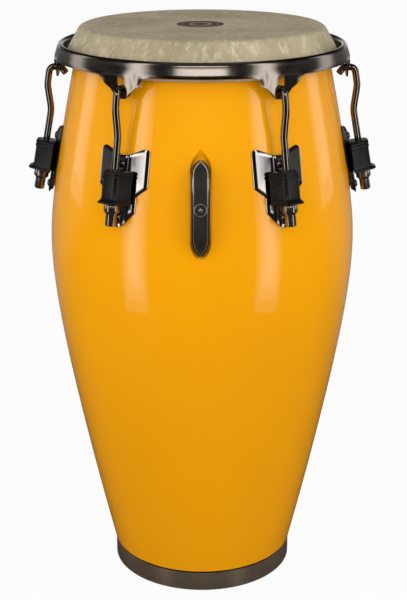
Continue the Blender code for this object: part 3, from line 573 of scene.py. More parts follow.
def cutMesh(mesh, cutter, sharp, how="DIFFERENCE"):
    # Cuts one mesh out of another, or joins them; both are used up.
    piece = newObject("blank", mesh)
    tool = newObject("cutter", cutter)
    step = piece.modifiers.new("Cut", "BOOLEAN")
    step.operation = how
    step.solver = "EXACT"
    step.object = tool
    result = bakedMesh(piece)
    bpy.data.objects.remove(tool, do_unlink=True)
    return smoothMesh(result, sharp) if sharp else result


def fitPiece(piece, body, slot, *nodes):
    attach(piece, body)
    if nodes:
        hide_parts(*nodes)


def addPiece(name, mesh, materials, body, slot, *nodes):
    fitPiece(newObject(name, mesh, materials), body, slot, *nodes)


# The drum's own sizes, in metres, as its solids have them

drum = {"height": 0.762, "gap": 0.0003, "lugs": 6, "wall": 0.0070, "edgeWall": 0.0110,
        "edgeBlend": 0.060}
shellProfile = (
    (0.0131, 0.1209), (0.1181, 0.1396), (0.2362, 0.1592), (0.3543, 0.1774),
    (0.4593, 0.1916), (0.5512, 0.2009), (0.6430, 0.2036), (0.7480, 0.1943),
    (0.8530, 0.1802), (0.9252, 0.1692), (1.0000, 0.1588),
)
shellRadius = splineThrough([(share * drum["height"], radius) for share, radius in shellProfile])
head = {"skin": 0.0025, "shoulder": 0.0100, "flat": 0.1523, "slope": 60.0, "hoopRadius": 0.1735,
        "hoopHeight": 0.7220, "hoopWire": 0.0037, "steps": 192}
edgeHeight = drum["height"] - head["shoulder"]
collarNormal = math.radians(90.0 - head["slope"])
wrapRadius = head["hoopWire"] + drum["gap"] + head["skin"]
bearing = (head["hoopRadius"] + (wrapRadius + drum["gap"]) * math.cos(collarNormal),
           head["hoopHeight"] + (wrapRadius + drum["gap"]) * math.sin(collarNormal))


def clamp(share):
    return min(max(share, 0.0), 1.0)


def softStep(share):
    share = clamp(share)
    return share * share * (3 - 2 * share)


def shellInsideRadius(height):
    share = clamp((height - (edgeHeight - drum["edgeBlend"])) / drum["edgeBlend"])
    return shellRadius(height) - drum["wall"] - (drum["edgeWall"] - drum["wall"]) * share


def wallAlong(place, sideways, up):
    # Where the shell's wall lies along x of a frame, for a place sideways and up in it.
    along = 0.0
    for step in range(12):
        point = place @ Vector((along, sideways, up))
        along -= math.hypot(point.x, point.y) - shellRadius(point.z)
    return along


# Handle frame: x out of the shell, y sideways, z up along it

handle = {
    "height": 0.5690, "length": 0.1185, "width": 0.0228, "footPoint": 0.0240,
    "topPoint": 0.0160, "standoff": 0.0165, "bow": 0.0115, "bar": 0.0050, "border": 0.0035,
    "sink": 0.0005, "fingers": 0.0800, "fingerRound": 0.0050, "ring": 0.0074,
    "ringWire": 0.0006, "dot": (0.0026, 0.0005, 0.0002), "lower": 0.0031,
    "recessDepth": 0.0070, "recessLength": 0.1370, "recessWidth": 0.0245,
    "recessPoint": 0.0260, "recessTaper": 0.0012, "recessRim": 0.0060,
}


def handleSlant():
    step = 0.001
    rise = shellRadius(handle["height"] + step) - shellRadius(handle["height"] - step)
    return math.atan(-rise / (2 * step))


handleFrame = (Matrix.Rotation(-math.pi / 2, 4, "Z")
               @ Matrix.Translation((shellRadius(handle["height"]), 0.0, handle["height"]))
               @ Matrix.Rotation(-handleSlant(), 4, "Y"))


def pointedWidth(length, width, point, up):
    # Half width of a bar with arched points, at a place along it.
    half = width / 2
    beyond = max(abs(up) - (length / 2 - point), 0.0)
    arch = (half * half + point * point) / (2 * half)
    if beyond >= point:
        return 0.0
    return math.sqrt(arch * arch - beyond * beyond) - (arch - half)


def handleWidth(up):
    return pointedWidth(handle["length"], handle["width"],
                        handle["topPoint" if up > 0 else "footPoint"], up)


# Shell: turned wall with the handle's recess moulded in

shellPiece = {
    "foot": 0.0308,              # the lacquer ends here, over a step behind the band faced in dark rubber as painted shade for the gap
    "seat": 0.1225, "baseTop": 0.0083, "columns": 132, "recessColumns": 20,
    "recessHalf": 0.0205, "recessReach": 0.0790, "recessRows": 52, "lowRows": 50, "highRows": 16,
    "lip": 0.0011,               # rounding where the recess meets the wall
    "bulge": 0.0040,             # the inner wall swells behind the recess over this width
    "topReach": 0.0012,          # the wall ends this far above the edge's centre
}


def recessDistance(spine, target, length, width, point):
    # How far from the spine towards a target the pointed outline lies, as a share.
    low, high = 0.0, 1.0
    for step in range(30):
        share = (low + high) / 2
        u = spine[0] + (target[0] - spine[0]) * share
        v = spine[1] + (target[1] - spine[1]) * share
        if abs(u) < pointedWidth(length, width, point, v) and abs(v) < length / 2:
            low = share
        else:
            high = share
    return low


def recessLoops(edge):
    # Loops from the wall's grid in to the recess's floor.
    inverse = handleFrame.inverted()
    spineHalf = handle["recessLength"] / 2 - handle["recessPoint"]
    floorLength = handle["length"] + 2 * handle["recessTaper"]
    floorWidth = handle["recessWidth"] - 2 * handle["recessTaper"]
    lip = shellPiece["lip"]
    depth = handle["recessDepth"]
    loops = [[] for i in range(11)]
    for point in edge:
        local = inverse @ Vector(point)
        target = Vector((local.y, local.z))
        spine = Vector((0.0, min(max(local.z, -spineHalf), spineHalf)))
        reachTo = (target - spine).length
        brim = recessDistance(spine, target, handle["recessLength"], handle["recessWidth"],
                             handle["recessPoint"]) * reachTo
        floor = recessDistance(spine, target, floorLength, floorWidth, handle["topPoint"]) * reachTo
        away = (target - spine).normalized()
        run = brim - floor
        plan = (
            (brim + (reachTo - brim) * 0.45, 0.0), (brim + lip * 1.6, 0.0), (brim + lip, 0.003),
            (brim + lip * 0.35, 0.035), (brim, 0.10), (brim - run * 0.35, 0.38),
            (brim - run * 0.70, 0.72), (brim - run * 0.95, 0.94), (floor - lip * 0.5, 0.995),
            (floor * 0.5, 1.0), (0.0, 1.0),
        )
        for loop, (distance, share) in zip(loops, plan):
            place = spine + away * distance
            surface = wallAlong(handleFrame, place.x, place.y)
            x = surface * (1 - share) - depth * share
            loop.append(tuple(handleFrame @ Vector((x, place.x, place.y))))
    return loops


def insideBulge(point):
    # The inner wall's place: pushed in behind the recess.
    local = handleFrame.inverted() @ Vector(point)
    brim = handle["recessRim"]
    width = pointedWidth(handle["recessLength"] + 2 * brim, handle["recessWidth"] + 2 * brim,
                         handle["recessPoint"], local.z)
    share = softStep((width - abs(local.y)) / shellPiece["bulge"] + 0.4) if width > 0 else 0.0
    target = -handle["recessDepth"] - drum["wall"]
    if local.x > target:
        local.x += (target - local.x) * share
    return tuple(handleFrame @ local)


def shellMesh():
    half = shellPiece["recessHalf"] / shellRadius(handle["height"])
    inner = shellPiece["recessColumns"]
    outer = shellPiece["columns"]
    angles = [-half + 2 * half * i / inner for i in range(inner + 1)]
    angles += [half + (2 * math.pi - 2 * half) * i / outer for i in range(1, outer)]
    low = handle["height"] - shellPiece["recessReach"]
    high = handle["height"] + shellPiece["recessReach"]
    foot = shellPiece["foot"]
    top = edgeHeight + shellPiece["topReach"]
    heights, marks = [], []
    for start, end, part in ((foot, low, "low"), (low, high, "recess"), (high, top, "high")):
        marks.append(len(heights))
        rows = shellPiece[part + "Rows"]
        heights += [start + (end - start) * i / rows for i in range(rows)]
    heights.append(top)

    edge = head["shoulder"] - head["skin"] - drum["gap"]
    section = [(shellPiece["seat"], shellPiece["baseTop"]), (shellPiece["seat"], foot)]
    section += [(shellRadius(z), z) for z in heights]
    section += arcPoints((head["flat"], edgeHeight), edge, 15, 90, 6)
    section += [(head["flat"] - edge, edgeHeight), (shellInsideRadius(edgeHeight),
                                                    edgeHeight - edge)]
    innerStart = len(section)
    section += [(shellInsideRadius(z), z) for z in reversed(heights[::2])]
    section.append((shellInsideRadius(shellPiece["baseTop"]), shellPiece["baseTop"]))

    shape = bmesh.new()
    grid = []
    for angle in angles:
        points = [(r * math.sin(angle), -r * math.cos(angle), z) for r, z in section]
        points[innerStart:] = [insideBulge(point) for point in points[innerStart:]]
        grid.append([shape.verts.new(point) for point in points])
    rowFirst, rowLast = marks[1] + 2, marks[2] + 2
    count = len(section)
    for i in range(len(angles)):
        after = grid[(i + 1) % len(angles)]
        for j in range(count):
            k = (j + 1) % count
            if i < inner and rowFirst <= j < rowLast:
                continue
            face = shape.faces.new((grid[i][j], after[j], after[k], grid[i][k]))
            # the two faces of the step behind the band take the dark rubber: painted shade for the
            # gap under the lacquer's end
            face.material_index = 1 if j >= innerStart - 1 else 2 if j < 2 else 0
    border = [grid[i][rowFirst] for i in range(inner)]
    border += [grid[inner][j] for j in range(rowFirst, rowLast)]
    border += [grid[i][rowLast] for i in range(inner, 0, -1)]
    border += [grid[0][j] for j in range(rowLast, rowFirst, -1)]
    before = border
    for loop in recessLoops([tuple(vert.co) for vert in border]):
        ring = [shape.verts.new(point) for point in loop]
        for i in range(len(ring)):
            k = (i + 1) % len(ring)
            shape.faces.new((before[i], before[k], ring[k], ring[i]))
        before = ring
    bmesh.ops.remove_doubles(shape, verts=shape.verts, dist=0.000005)
    return finishShape(shape, 55.0)


addPiece("drumShell", shellMesh(), (yellowLacquer, shellInside, baseRubber),
         "drum", "shell_lacquer", "shell")
print("conga: shell made")


# Head: one skin, flat on top, over the bearing edge and round its hoop

def headMesh():
    end = math.degrees(collarNormal)
    centre = (head["flat"], edgeHeight)
    hoop = (head["hoopRadius"], head["hoopHeight"])
    top = drum["height"]
    rings = 10
    section = [(head["flat"] * i / rings, top) for i in range(rings)]
    section += arcPoints(centre, head["shoulder"], 90, end, 12)
    section += arcPoints(hoop, wrapRadius, end, end - 240, 22)
    section += arcPoints(hoop, wrapRadius - head["skin"], end - 240, end, 16)
    section += arcPoints(centre, head["shoulder"] - head["skin"], end, 90, 8)
    section.append((0.0, top - head["skin"]))
    return turnedMesh(section, head["steps"], 60.0)


addPiece("drumHead", headMesh(), (hideSkin,), "drum", "head_skin", "drum_head")


# Foot: metal band and the ring that the drum stands on

foot = {"bandTop": 0.0275, "bandFoot": 0.0010, "bandRadius": 0.1250, "thickness": 0.0022,
        "edge": 0.0009, "baseTop": 0.0080, "baseWidth": 0.0095, "baseEdge": 0.0007,
        "steps": 192}


def footRing(outer, width, low, high, edge):
    inner = outer - width
    section = roundedOutline([(inner, low), (outer, low), (outer, high), (inner, high)], edge)
    return turnedMesh(section, foot["steps"], 40.0)


addPiece("footBand", footRing(foot["bandRadius"], foot["thickness"], foot["bandFoot"],
                              foot["bandTop"], foot["edge"]),
         (bandMetal,), "drum", "foot_band_metal", "foot_band")
addPiece("baseRing", footRing(foot["bandRadius"] - foot["thickness"] - drum["gap"],
                              foot["baseWidth"], 0.0, foot["baseTop"], foot["baseEdge"]),
         (baseRubber,), "drum", "base_rubber", "base_ring")
print("conga: head and foot made")


# Rim: one pressed sheet with a rolled crown, a flared lip and six slotted tabs

rim = {
    "thickness": 0.0024, "channel": 0.0088, "rise": 0.0139, "crown": 0.0045, "drop": 0.0039,
    "flare": 0.0022, "flareHeight": 0.0048, "tuck": 0.0012, "prow": 0.0014, "prowReach": 0.0212,
    "slotWidth": 0.0110, "slotLength": 0.0224, "bridge": 0.0076, "lean": 0.0024,
    "soft": 0.0015, "edge": 0.0006, "landing": 0.0045, "neck": 0.0045, "easing": 0.024,
    "tabSteps": 40, "plainSteps": 18,
}
tabOutline = (
    (0.0000, 0.0275), (0.0062, 0.0268), (0.0106, 0.0236), (0.0138, 0.0182), (0.0164, 0.0150),
    (0.0212, 0.0127), (0.0250, 0.0100), (0.0274, 0.0064), (0.0292, 0.0030), (0.0325, 0.0008),
    (0.0370, 0.0000),
)
rimWall = bearing[0] + rim["thickness"] / 2
rimSkirt = rimWall + rim["channel"]
skirtFoot = bearing[1] - rim["drop"]
tabFoot = skirtFoot - tabOutline[0][1]
tabRadius = rimSkirt - rim["tuck"] + rim["prow"]
slotFoot = tabFoot + rim["bridge"]
landHeight = slotFoot + drum["gap"] + rim["landing"]


def tabDrop(across):
    # How far the skirt hangs down at a place sideways from a tab's middle.
    across = abs(across)
    if across >= tabOutline[-1][0]:
        return 0.0
    i = max(k for k in range(len(tabOutline) - 1) if tabOutline[k][0] <= across)
    (a, low), (b, high) = tabOutline[i], tabOutline[i + 1]
    return low + (high - low) * (across - a) / (b - a)


def softDrop(across):
    # The same outline with its corners eased.
    reachOut = rim["soft"]
    samples = [tabDrop(across + reachOut * k / 3) for k in (-3, -2, -1, 0, 1, 2, 3)]
    return sum(samples) / len(samples)


def rimProfile(across):
    drop = softDrop(across)
    share = min(abs(across) / rim["prowReach"], 1.0)
    bulge = rim["prow"] * (1 - share * share) if drop > 0 else 0.0
    ease = softStep(drop / rim["easing"])
    crownHeight = bearing[1] + rim["rise"] - rim["crown"]
    points = [(rimWall, bearing[1]), (rimWall, bearing[1] + rim["neck"])]
    half = (rim["channel"] - rim["lean"]) / 2
    for i in range(13):
        angle = math.pi * (1 - i / 12)
        points.append((rimWall + half + half * math.cos(angle),
                       crownHeight + rim["crown"] * math.sin(angle)))
    top = skirtFoot + rim["flareHeight"]
    flare = rim["flare"] * (1 - ease) + (rim["flare"] - rim["tuck"]) * 0.5 * ease
    points.append((rimSkirt - rim["lean"] / 2 + bulge * 0.2, (crownHeight + top) / 2))
    points.append((rimSkirt + bulge * 0.5, top))
    points.append((rimSkirt + flare * 0.30 + bulge * 0.8, skirtFoot + rim["flareHeight"] * 0.55))
    foot = rimSkirt + rim["flare"] * (1 - ease) - rim["tuck"] * ease + bulge
    start = (rimSkirt + flare * 0.75 + bulge, skirtFoot + rim["flareHeight"] * 0.2)
    points += [(start[0] + (foot - start[0]) * i / 6,
                start[1] + (skirtFoot - drop - start[1]) * i / 6) for i in range(7)]
    return points


def slotCutter():
    shape = bmesh.new()
    radius = rim["slotWidth"] / 2
    low = slotFoot + radius
    high = slotFoot + rim["slotLength"] - radius
    outline = arcPoints((0.0, low), radius, 180, 360, 13)
    outline += arcPoints((0.0, high), radius, 0, 180, 13)
    for index in range(drum["lugs"]):
        spin = Matrix.Rotation(2 * math.pi * index / drum["lugs"], 3, "Z")
        addLoops(shape, [[spin @ Vector((x, y, z)) for y, z in outline]
                         for x in (rimSkirt - rim["channel"] / 2, rimSkirt + rim["channel"])])
    return finishShape(shape)


def rimMesh():
    sector = 2 * math.pi / drum["lugs"]
    widest = (tabOutline[-1][0] + rim["soft"]) / rimSkirt
    spots = [widest * (2 * i / rim["tabSteps"] - 1) for i in range(rim["tabSteps"])]
    gapAngle = sector - 2 * widest
    spots += [widest + gapAngle * i / rim["plainSteps"] for i in range(rim["plainSteps"])]
    shape = bmesh.new()
    columns = []
    for index in range(drum["lugs"]):
        for spot in spots:
            angle = sector * index + spot
            away = spot if spot <= widest else spot - sector
            columns.append([shape.verts.new((r * math.cos(angle), r * math.sin(angle), z))
                            for r, z in rimProfile(away * rimSkirt)])
    for i, column in enumerate(columns):
        after = columns[(i + 1) % len(columns)]
        for j in range(len(column) - 1):
            shape.faces.new((column[j], column[j + 1], after[j + 1], after[j]))
    sheet = newObject("rimSheet", finishShape(shape))
    step = sheet.modifiers.new("Sheet", "SOLIDIFY")
    step.thickness = rim["thickness"]
    step.offset = 0.0
    edges = sheet.modifiers.new("Edges", "BEVEL")
    edges.width = rim["edge"]
    edges.segments = 2
    edges.limit_method = "ANGLE"
    edges.angle_limit = math.radians(60)
    return cutMesh(bakedMesh(sheet), slotCutter(), 38.0)


addPiece("tuningRim", rimMesh(), (rimNickel,), "rim", "black_nickel", "tuning_rim")
print("conga: rim made")


# Geometry node trees: pieces set round the drum, and rods swept along a line

def newTree(name, inputs):
    # A tree whose inputs are given as (kind, value), with a mesh first and a Material last.
    tree = bpy.data.node_groups.new(name, "GeometryNodeTree")
    inputs = {"Geometry": ("Geometry", None), **inputs, "Material": ("Material", None)}
    for label, (kind, value) in inputs.items():
        socket = tree.interface.new_socket(label, in_out="INPUT",
                                           socket_type="NodeSocket" + kind)
        if value is not None:
            socket.default_value = value
    tree.interface.new_socket("Geometry", in_out="OUTPUT", socket_type="NodeSocketGeometry")
    return tree, tree.nodes.new("NodeGroupInput").outputs


def endTree(tree, start, geometry):
    real = addNode(tree, "GeometryNodeRealizeInstances", {0: geometry})
    paint = addNode(tree, "GeometryNodeSetMaterial", {"Geometry": real.outputs[0],
                                                      "Material": start["Material"]})
    addNode(tree, "NodeGroupOutput", {0: paint.outputs[0]})
    return tree


def lugTree():
    # Copies a piece drawn at +X to Count places round the drum, the first at Start.
    tree, start = newTree("roundTheDrum", {
        "Count": ("Int", 1), "Start": ("Float", 0.0),
        "Step": ("Float", 2 * math.pi / drum["lugs"])})
    line = addNode(tree, "GeometryNodeMeshLine", {"Count": start["Count"],
                                                  "Offset": (0.0, 0.0, 0.0)})
    index = addNode(tree, "GeometryNodeInputIndex")
    turned = addNode(tree, "ShaderNodeMath", {0: index.outputs[0], 1: start["Step"],
                                              2: start["Start"]}, operation="MULTIPLY_ADD")
    spin = addNode(tree, "ShaderNodeCombineXYZ", {2: turned.outputs[0]})
    copies = addNode(tree, "GeometryNodeInstanceOnPoints", {
        "Points": line.outputs[0], "Instance": start["Geometry"], "Rotation": spin.outputs[0]})
    return endTree(tree, start, copies.outputs[0])


def rodTree():
    # Sweeps a round along a line of edges; "girth" on its points scales the radius.
    tree, start = newTree("rodAlongLine", {
        "Radius": ("Float", 0.0045), "Sides": ("Int", 20), "Turn": ("Float", 0.0)})
    curve = addNode(tree, "GeometryNodeMeshToCurve", {0: start["Geometry"]})
    girth = addNode(tree, "GeometryNodeInputNamedAttribute", {"Name": "girth"},
                    data_type="FLOAT").outputs[0]
    sized = addNode(tree, "GeometryNodeSetCurveRadius", {"Curve": curve.outputs[0],
                                                         "Radius": girth})
    profile = addNode(tree, "GeometryNodeCurvePrimitiveCircle", {
        "Resolution": start["Sides"], "Radius": start["Radius"]})
    swept = addNode(tree, "GeometryNodeCurveToMesh", {
        "Curve": sized.outputs[0], "Profile Curve": profile.outputs[0], "Fill Caps": True})
    if "Scale" in swept.inputs:
        tree.links.new(girth, swept.inputs["Scale"])
    spin = addNode(tree, "ShaderNodeCombineXYZ", {2: start["Turn"]})
    placed = addNode(tree, "GeometryNodeTransform", {"Geometry": swept.outputs[0],
                                                     "Rotation": spin.outputs[0]})
    smooth = addNode(tree, "GeometryNodeSetShadeSmooth", {"Geometry": placed.outputs[0]})
    return endTree(tree, start, smooth.outputs[0])


def runTree(tree, mesh, name, values, sharp):
    # Runs a tree on a mesh and returns the result as a plain piece.
    carrier = newObject(name + "Source", mesh)
    nodes = carrier.modifiers.new("Nodes", "NODES")
    nodes.node_group = tree
    for item in tree.interface.items_tree:
        if item.in_out == "INPUT" and item.name in values:
            nodes[item.identifier] = values[item.name]
    return newObject(name, smoothMesh(bakedMesh(carrier), sharp))


roundTheDrum = lugTree()
rodAlongLine = rodTree()


# Lug station: x outwards, y sideways, z up along the shank, which leans in

lug = {"height": 0.5910, "standoff": 0.0199, "slant": 10.6, "rod": 0.0045,
       "land": (0.0046, 0.0100), "tip": (0.0067, 0.0088), "belly": (0.0138, 0.0234),
       "waist": 0.0610, "bends": (0.0070, 0.0080, 0.0300, 0.0400), "inNut": 0.0040}
lugOrigin = Vector((shellRadius(lug["height"]) + lug["standoff"], 0.0, lug["height"]))
lugFrame = Matrix.Translation(lugOrigin) @ Matrix.Rotation(-math.radians(lug["slant"]), 4, "Y")


def intoLug(radius, height):
    point = lugFrame.inverted() @ Vector((radius, 0.0, height))
    return point.x, point.z


def toWorld(mesh):
    mesh.transform(lugFrame)
    return mesh


nut = {"flange": 0.0175, "hex": 0.0122, "flangeHeight": 0.0108, "height": 0.0270,
       "bore": 0.0050, "edge": 0.0006, "cornerTurn": 0.16, "cornerEase": 0.085}
cushion = {"height": 0.0427, "back": 0.0123, "front": 0.0118, "backWidth": 0.0370,
           "frontWidth": 0.0200, "round": 0.0060, "rib": 0.0010, "beak": 0.0058, "lip": 0.0016,
           "bore": 0.0069, "shelf": (0.0098, 0.0203, 0.0046), "short": 0.0030}


def hookLine():
    inside = tabRadius - lug["land"][0]
    outside = tabRadius + lug["land"][1]
    corners = [
        intoLug(inside - lug["tip"][0], landHeight - lug["tip"][1]), intoLug(inside, landHeight),
        intoLug(outside, landHeight),
        intoLug(tabRadius + lug["belly"][0], landHeight - lug["belly"][1]),
        (0.0, lug["waist"]),
        (0.0, -cushion["height"] / 2 - drum["gap"] - nut["height"] + lug["inNut"]),
    ]
    line = [corners[0]]
    for i, radius in enumerate(lug["bends"], start=1):
        line += roundedCorner(corners[i - 1], corners[i], corners[i + 1], radius, 9)
    line.append(corners[-1])
    return line


def hookSource():
    # The rod's line, with its tip and foot rounded off by the girth of their points.
    line = [Vector((x, 0.0, z)) for x, z in hookLine()]
    nose, chamfer = 0.0016, 0.0008
    points, girths = [], []
    for share in (0.0, 0.15, 0.4, 0.7, 1.0):
        points.append(line[0].lerp(line[1], share * nose / (line[1] - line[0]).length))
        girths.append(0.64 + 0.36 * math.sqrt(1 - (1 - share) ** 2))
    points += line[1:-1]
    girths += [1.0] * (len(line) - 2)
    stem = (line[-1] - line[-2]).length
    for share in (1.0, 0.5, 0.0):
        points.append(line[-1].lerp(line[-2], share * chamfer / stem))
        girths.append(0.82 + 0.18 * share)
    mesh = bpy.data.meshes.new("hookLine")
    mesh.from_pydata([lugFrame @ point for point in points],
                     [(i, i + 1) for i in range(len(points) - 1)], [])
    girth = mesh.attributes.new("girth", "FLOAT", "POINT")
    girth.data.foreach_set("value", girths)
    return mesh


def hexLoop(flats, height, soft):
    # A hexagon with three points at each corner, so that its edges are eased.
    points = []
    radius = flats / 2 / math.cos(math.pi / 6)
    for i in range(6):
        angle = math.pi / 3 * i
        for side in (-1, 0, 1):
            around = angle + side * nut["cornerTurn"]
            reachOut = flats / 2 / math.cos(math.pi / 6 - abs(side) * nut["cornerEase"])
            reachOut = min(reachOut, radius - soft)
            points.append((reachOut * math.cos(around), reachOut * math.sin(around), height))
    return points


def roundLoop(radius, height):
    return [(x, y, height) for x, y in circle(radius, 18, -nut["cornerEase"])]


def nutSource():
    flange, flats, edge = nut["flange"], nut["hex"], nut["edge"]
    top = -cushion["height"] / 2 - drum["gap"]
    low = top - nut["height"]
    slope = (flange - flats) / 2
    high = top - nut["flangeHeight"] + slope / 2
    neck = top - nut["flangeHeight"] - slope / 2
    rows = (
        (flange - edge, top, 0.0004), (flange, top - edge, 0.0003),
        (flange, high + edge / 2, 0.0003), (flange - edge, high - edge / 3, 0.0003),
        (flats + edge, neck + edge / 3, 0.0003), (flats, neck - edge, 0.0003),
        (flats, low + 0.0012, 0.0003), (flats - 0.0007, low + 0.0003, 0.0007),
        (flats - 0.0014, low, 0.0008),
    )
    loops = [hexLoop(*row) for row in rows]
    loops += [roundLoop(nut["bore"] + edge, low), roundLoop(nut["bore"], low + edge),
              roundLoop(nut["bore"], top)]
    return toWorld(loopMesh(loops, 40.0, closed=True))


def cushionOutline(front, side):
    back = cushion["backWidth"] / 2 + side
    wide = cushion["frontWidth"] / 2 + side
    face = cushion["front"] + front
    rear = -cushion["back"]
    corners = [(rear, -back), (face, -wide), (face, wide), (rear, back)]
    outline = [(rear, 0.0), (rear, -back + 0.0008), (rear + 0.0008, -back)]
    outline += roundedCorner(corners[0], corners[1], corners[2], cushion["round"], 8)
    outline.append((face, 0.0))
    outline += roundedCorner(corners[1], corners[2], corners[3], cushion["round"], 8)
    outline += [(rear + 0.0008, back), (rear, back - 0.0008)]
    return outline


def cushionLevels():
    # (height, reach in front, reach at the sides) from the bottom lip up to the top edge.
    half = cushion["height"] / 2
    beak, lip, rib = cushion["beak"], cushion["lip"], cushion["rib"]
    crest = half - cushion["short"]
    levels = [(-half, beak * 0.62, lip * 0.3), (-half + 0.0003, beak * 0.82, lip * 0.7),
              (-half + 0.0010, beak, lip), (-half + 0.0020, beak * 0.98, lip),
              (-half + 0.0030, beak * 0.72, lip * 0.75), (-half + 0.0042, beak * 0.36, lip * 0.35),
              (-half + 0.0056, beak * 0.12, lip * 0.1), (-half + 0.0075, 0.0, 0.0),
              (0.0, 0.0, 0.0), (crest - 0.0098, 0.0, 0.0)]
    for middle, tall in ((crest - 0.0070, 0.0020), (crest - 0.0022, 0.0017)):
        for share in (-1.0, -0.85, -0.55, 0.0, 0.55, 0.85, 1.0):
            reachOut = rib * math.sqrt(max(1 - share ** 4, 0.0))
            levels.append((middle + tall * share, reachOut, reachOut))
    levels.append((crest - 0.0002, -0.0002, -0.0002))
    levels.append((crest, -0.0008, -0.0008))
    return levels


def cushionSource():
    body = loopMesh([[(x, y, z) for x, y in cushionOutline(front, side)]
                     for z, front, side in cushionLevels()], 40.0)
    reachUp = cushion["height"]
    bore = loopMesh(loopsAt(circle(cushion["bore"], 24), (-reachUp, reachUp)))
    bored = cutMesh(body, bore, 40.0)
    deep, wide, tall = cushion["shelf"]
    rear = -cushion["back"] - 0.004      # the pocket's cutter starts behind the cushion
    pocket = blockMesh(((deep + rear) / 2, 0.0, 0.0), (deep - rear, wide, tall))
    return toWorld(cutMesh(bored, pocket, 40.0))


def bushingSource():
    low = -cushion["height"] / 2
    high = cushion["height"] / 2 - cushion["short"]
    inner, outer = cushion["bore"] - 0.0014, cushion["bore"] - 0.0002
    rows = ((inner, low), (outer, low), (outer, high), (inner, high))
    return toWorld(loopMesh([[(x, y, z) for x, y in circle(r, 32)] for r, z in rows], 40.0,
                            closed=True))


# Side plates: folded sheet with wings that lean back to the shell, and a shelf

plate = {
    "thickness": 0.0025, "round": 0.0060, "edge": 0.0050, "fold": 0.0065, "foldSoft": 0.0011,
    "jog": 0.0032, "wingTurn": 5.0,
    "outline": ((0.0060, 0.0385), (0.0348, 0.0510), (0.0348, 0.0000), (0.0205, -0.0110),
                (0.0205, -0.0308), (0.0042, -0.0505)),
    "shelf": (0.0098, 0.0100, 0.0020), "screws": (0.0275, -0.0387), "screwRadius": 0.0033,
}
stripFace = -cushion["back"] - drum["gap"]


def wingDrop():
    across = plate["outline"][1][0]
    heights = (plate["outline"][1][1], plate["outline"][2][1])
    seat = max(wallAlong(lugFrame, across, height) for height in heights)
    return stripFace - plate["thickness"] - drum["gap"] - seat


def foldDepth(across, drop):
    # The sheet steps back beside its strip, then leans back to the shell.
    slope = math.tan(math.radians(plate["wingTurn"]))
    jogEnd = plate["fold"] + plate["jog"]
    jogDrop = drop - slope * (plate["outline"][1][0] - jogEnd)
    depths = []
    for share in (-1, -0.67, -0.33, 0, 0.33, 0.67, 1):
        place = abs(across) + share * plate["foldSoft"]
        step = clamp((place - plate["fold"]) / plate["jog"])
        depths.append(jogDrop * step + slope * max(place - jogEnd, 0.0))
    return sum(depths) / len(depths)


def plateSource():
    right = list(plate["outline"])
    left = [(-across, height) for across, height in reversed(right)]
    around = roundedOutline(right + left, plate["round"], 5)
    area = sum(a[0] * b[1] - b[0] * a[1] for a, b in zip(around, around[1:] + around[:1]))
    if area < 0:
        around.reverse()
    edge = plate["edge"]
    thick = plate["thickness"]
    # the sheet's edge is a rounded shoulder; the flat face starts inside it
    plan = [(0.0003, -thick), (0.0, -thick + 0.0003), (0.0, -0.0015), (0.0003, -0.0010),
            (edge * 0.35, -0.0005), (edge * 0.75, -0.0001), (edge, 0.0)]
    shape = bmesh.new()
    loops = [[(x, y, z) for y, z in insetOutline(around, inset)] for inset, x in plan]
    addLoops(shape, loops)
    fold, soft = plate["fold"], plate["foldSoft"]
    places = [start + soft * share for start in (fold, fold + plate["jog"])
              for share in (-1, -0.4, 0.4, 1)]
    for side in (-1, 1):
        for place in places:
            everything = shape.verts[:] + shape.edges[:] + shape.faces[:]
            bmesh.ops.bisect_plane(shape, geom=everything, plane_co=(0.0, side * place, 0.0),
                                   plane_no=(0.0, 1.0, 0.0))
    drop = wingDrop()
    for vert in shape.verts:
        vert.co.x += stripFace - foldDepth(vert.co.y, drop)
    sheet = finishShape(shape, 28.0)
    deep, wide, tall = plate["shelf"]
    root = stripFace - thick / 2
    shelf = blockMesh(((root + deep) / 2, 0.0, 0.0),
                      (deep - root, 2 * fold - 2 * thick, 2 * tall))
    joined = cutMesh(sheet, shelf, None, "UNION")
    holes = bmesh.new()
    addLoops(holes, loopsAt(circle(cushion["bore"] + 0.0001, 24), (-0.006, 0.006)))
    for place in plate["screws"]:
        addLoops(holes, [[(x, y, place + z) for y, z in circle(plate["screwRadius"], 20)]
                         for x in (stripFace - 0.006, stripFace + 0.003)])
    return toWorld(cutMesh(joined, finishShape(holes), 28.0))


# Screws of the side plates: a dome head with a cross recess on a plain shank

screw = {"head": 0.0050, "dome": 0.0026, "shank": 0.0030, "length": 0.0200, "cross": 0.0052,
         "blade": 0.0011, "sink": 0.0014, "sides": 24}


def screwSource():
    face = stripFace + drum["gap"]
    profile = []
    for share in (0.0, 0.2, 0.4, 0.6, 0.8, 0.93, 1.0):
        rise = screw["dome"] * math.sqrt(1 - share ** 2.6)
        profile.append((screw["head"] * share, face + (max(rise, 0.0003) if share else rise)))
    profile += [(screw["head"] * 0.985, face), (screw["shank"], face),
                (screw["shank"], face - screw["length"])]
    body = loopMesh([[(x, y, z) for y, z in circle(max(r, 0.0002), screw["sides"])]
                     for r, x in profile], 40.0)
    cutterEnd = 0.0012           # the blades start this far outside the dome
    middle = face + screw["dome"] - screw["sink"] / 2 + cutterEnd / 2
    for wide, tall in ((screw["cross"], screw["blade"]), (screw["blade"], screw["cross"])):
        body = cutMesh(body, blockMesh((middle, 0.0, 0.0),
                                       (screw["sink"] + cutterEnd, wide, tall)), 40.0)
    both = bmesh.new()
    for up in plate["screws"]:
        both.from_mesh(body)
        fresh = both.verts[-len(body.vertices):]
        bmesh.ops.translate(both, verts=fresh, vec=(0.0, 0.0, up))
    mesh = bpy.data.meshes.new("screws")
    both.to_mesh(mesh)
    both.free()
    return toWorld(smoothMesh(mesh, 40.0))


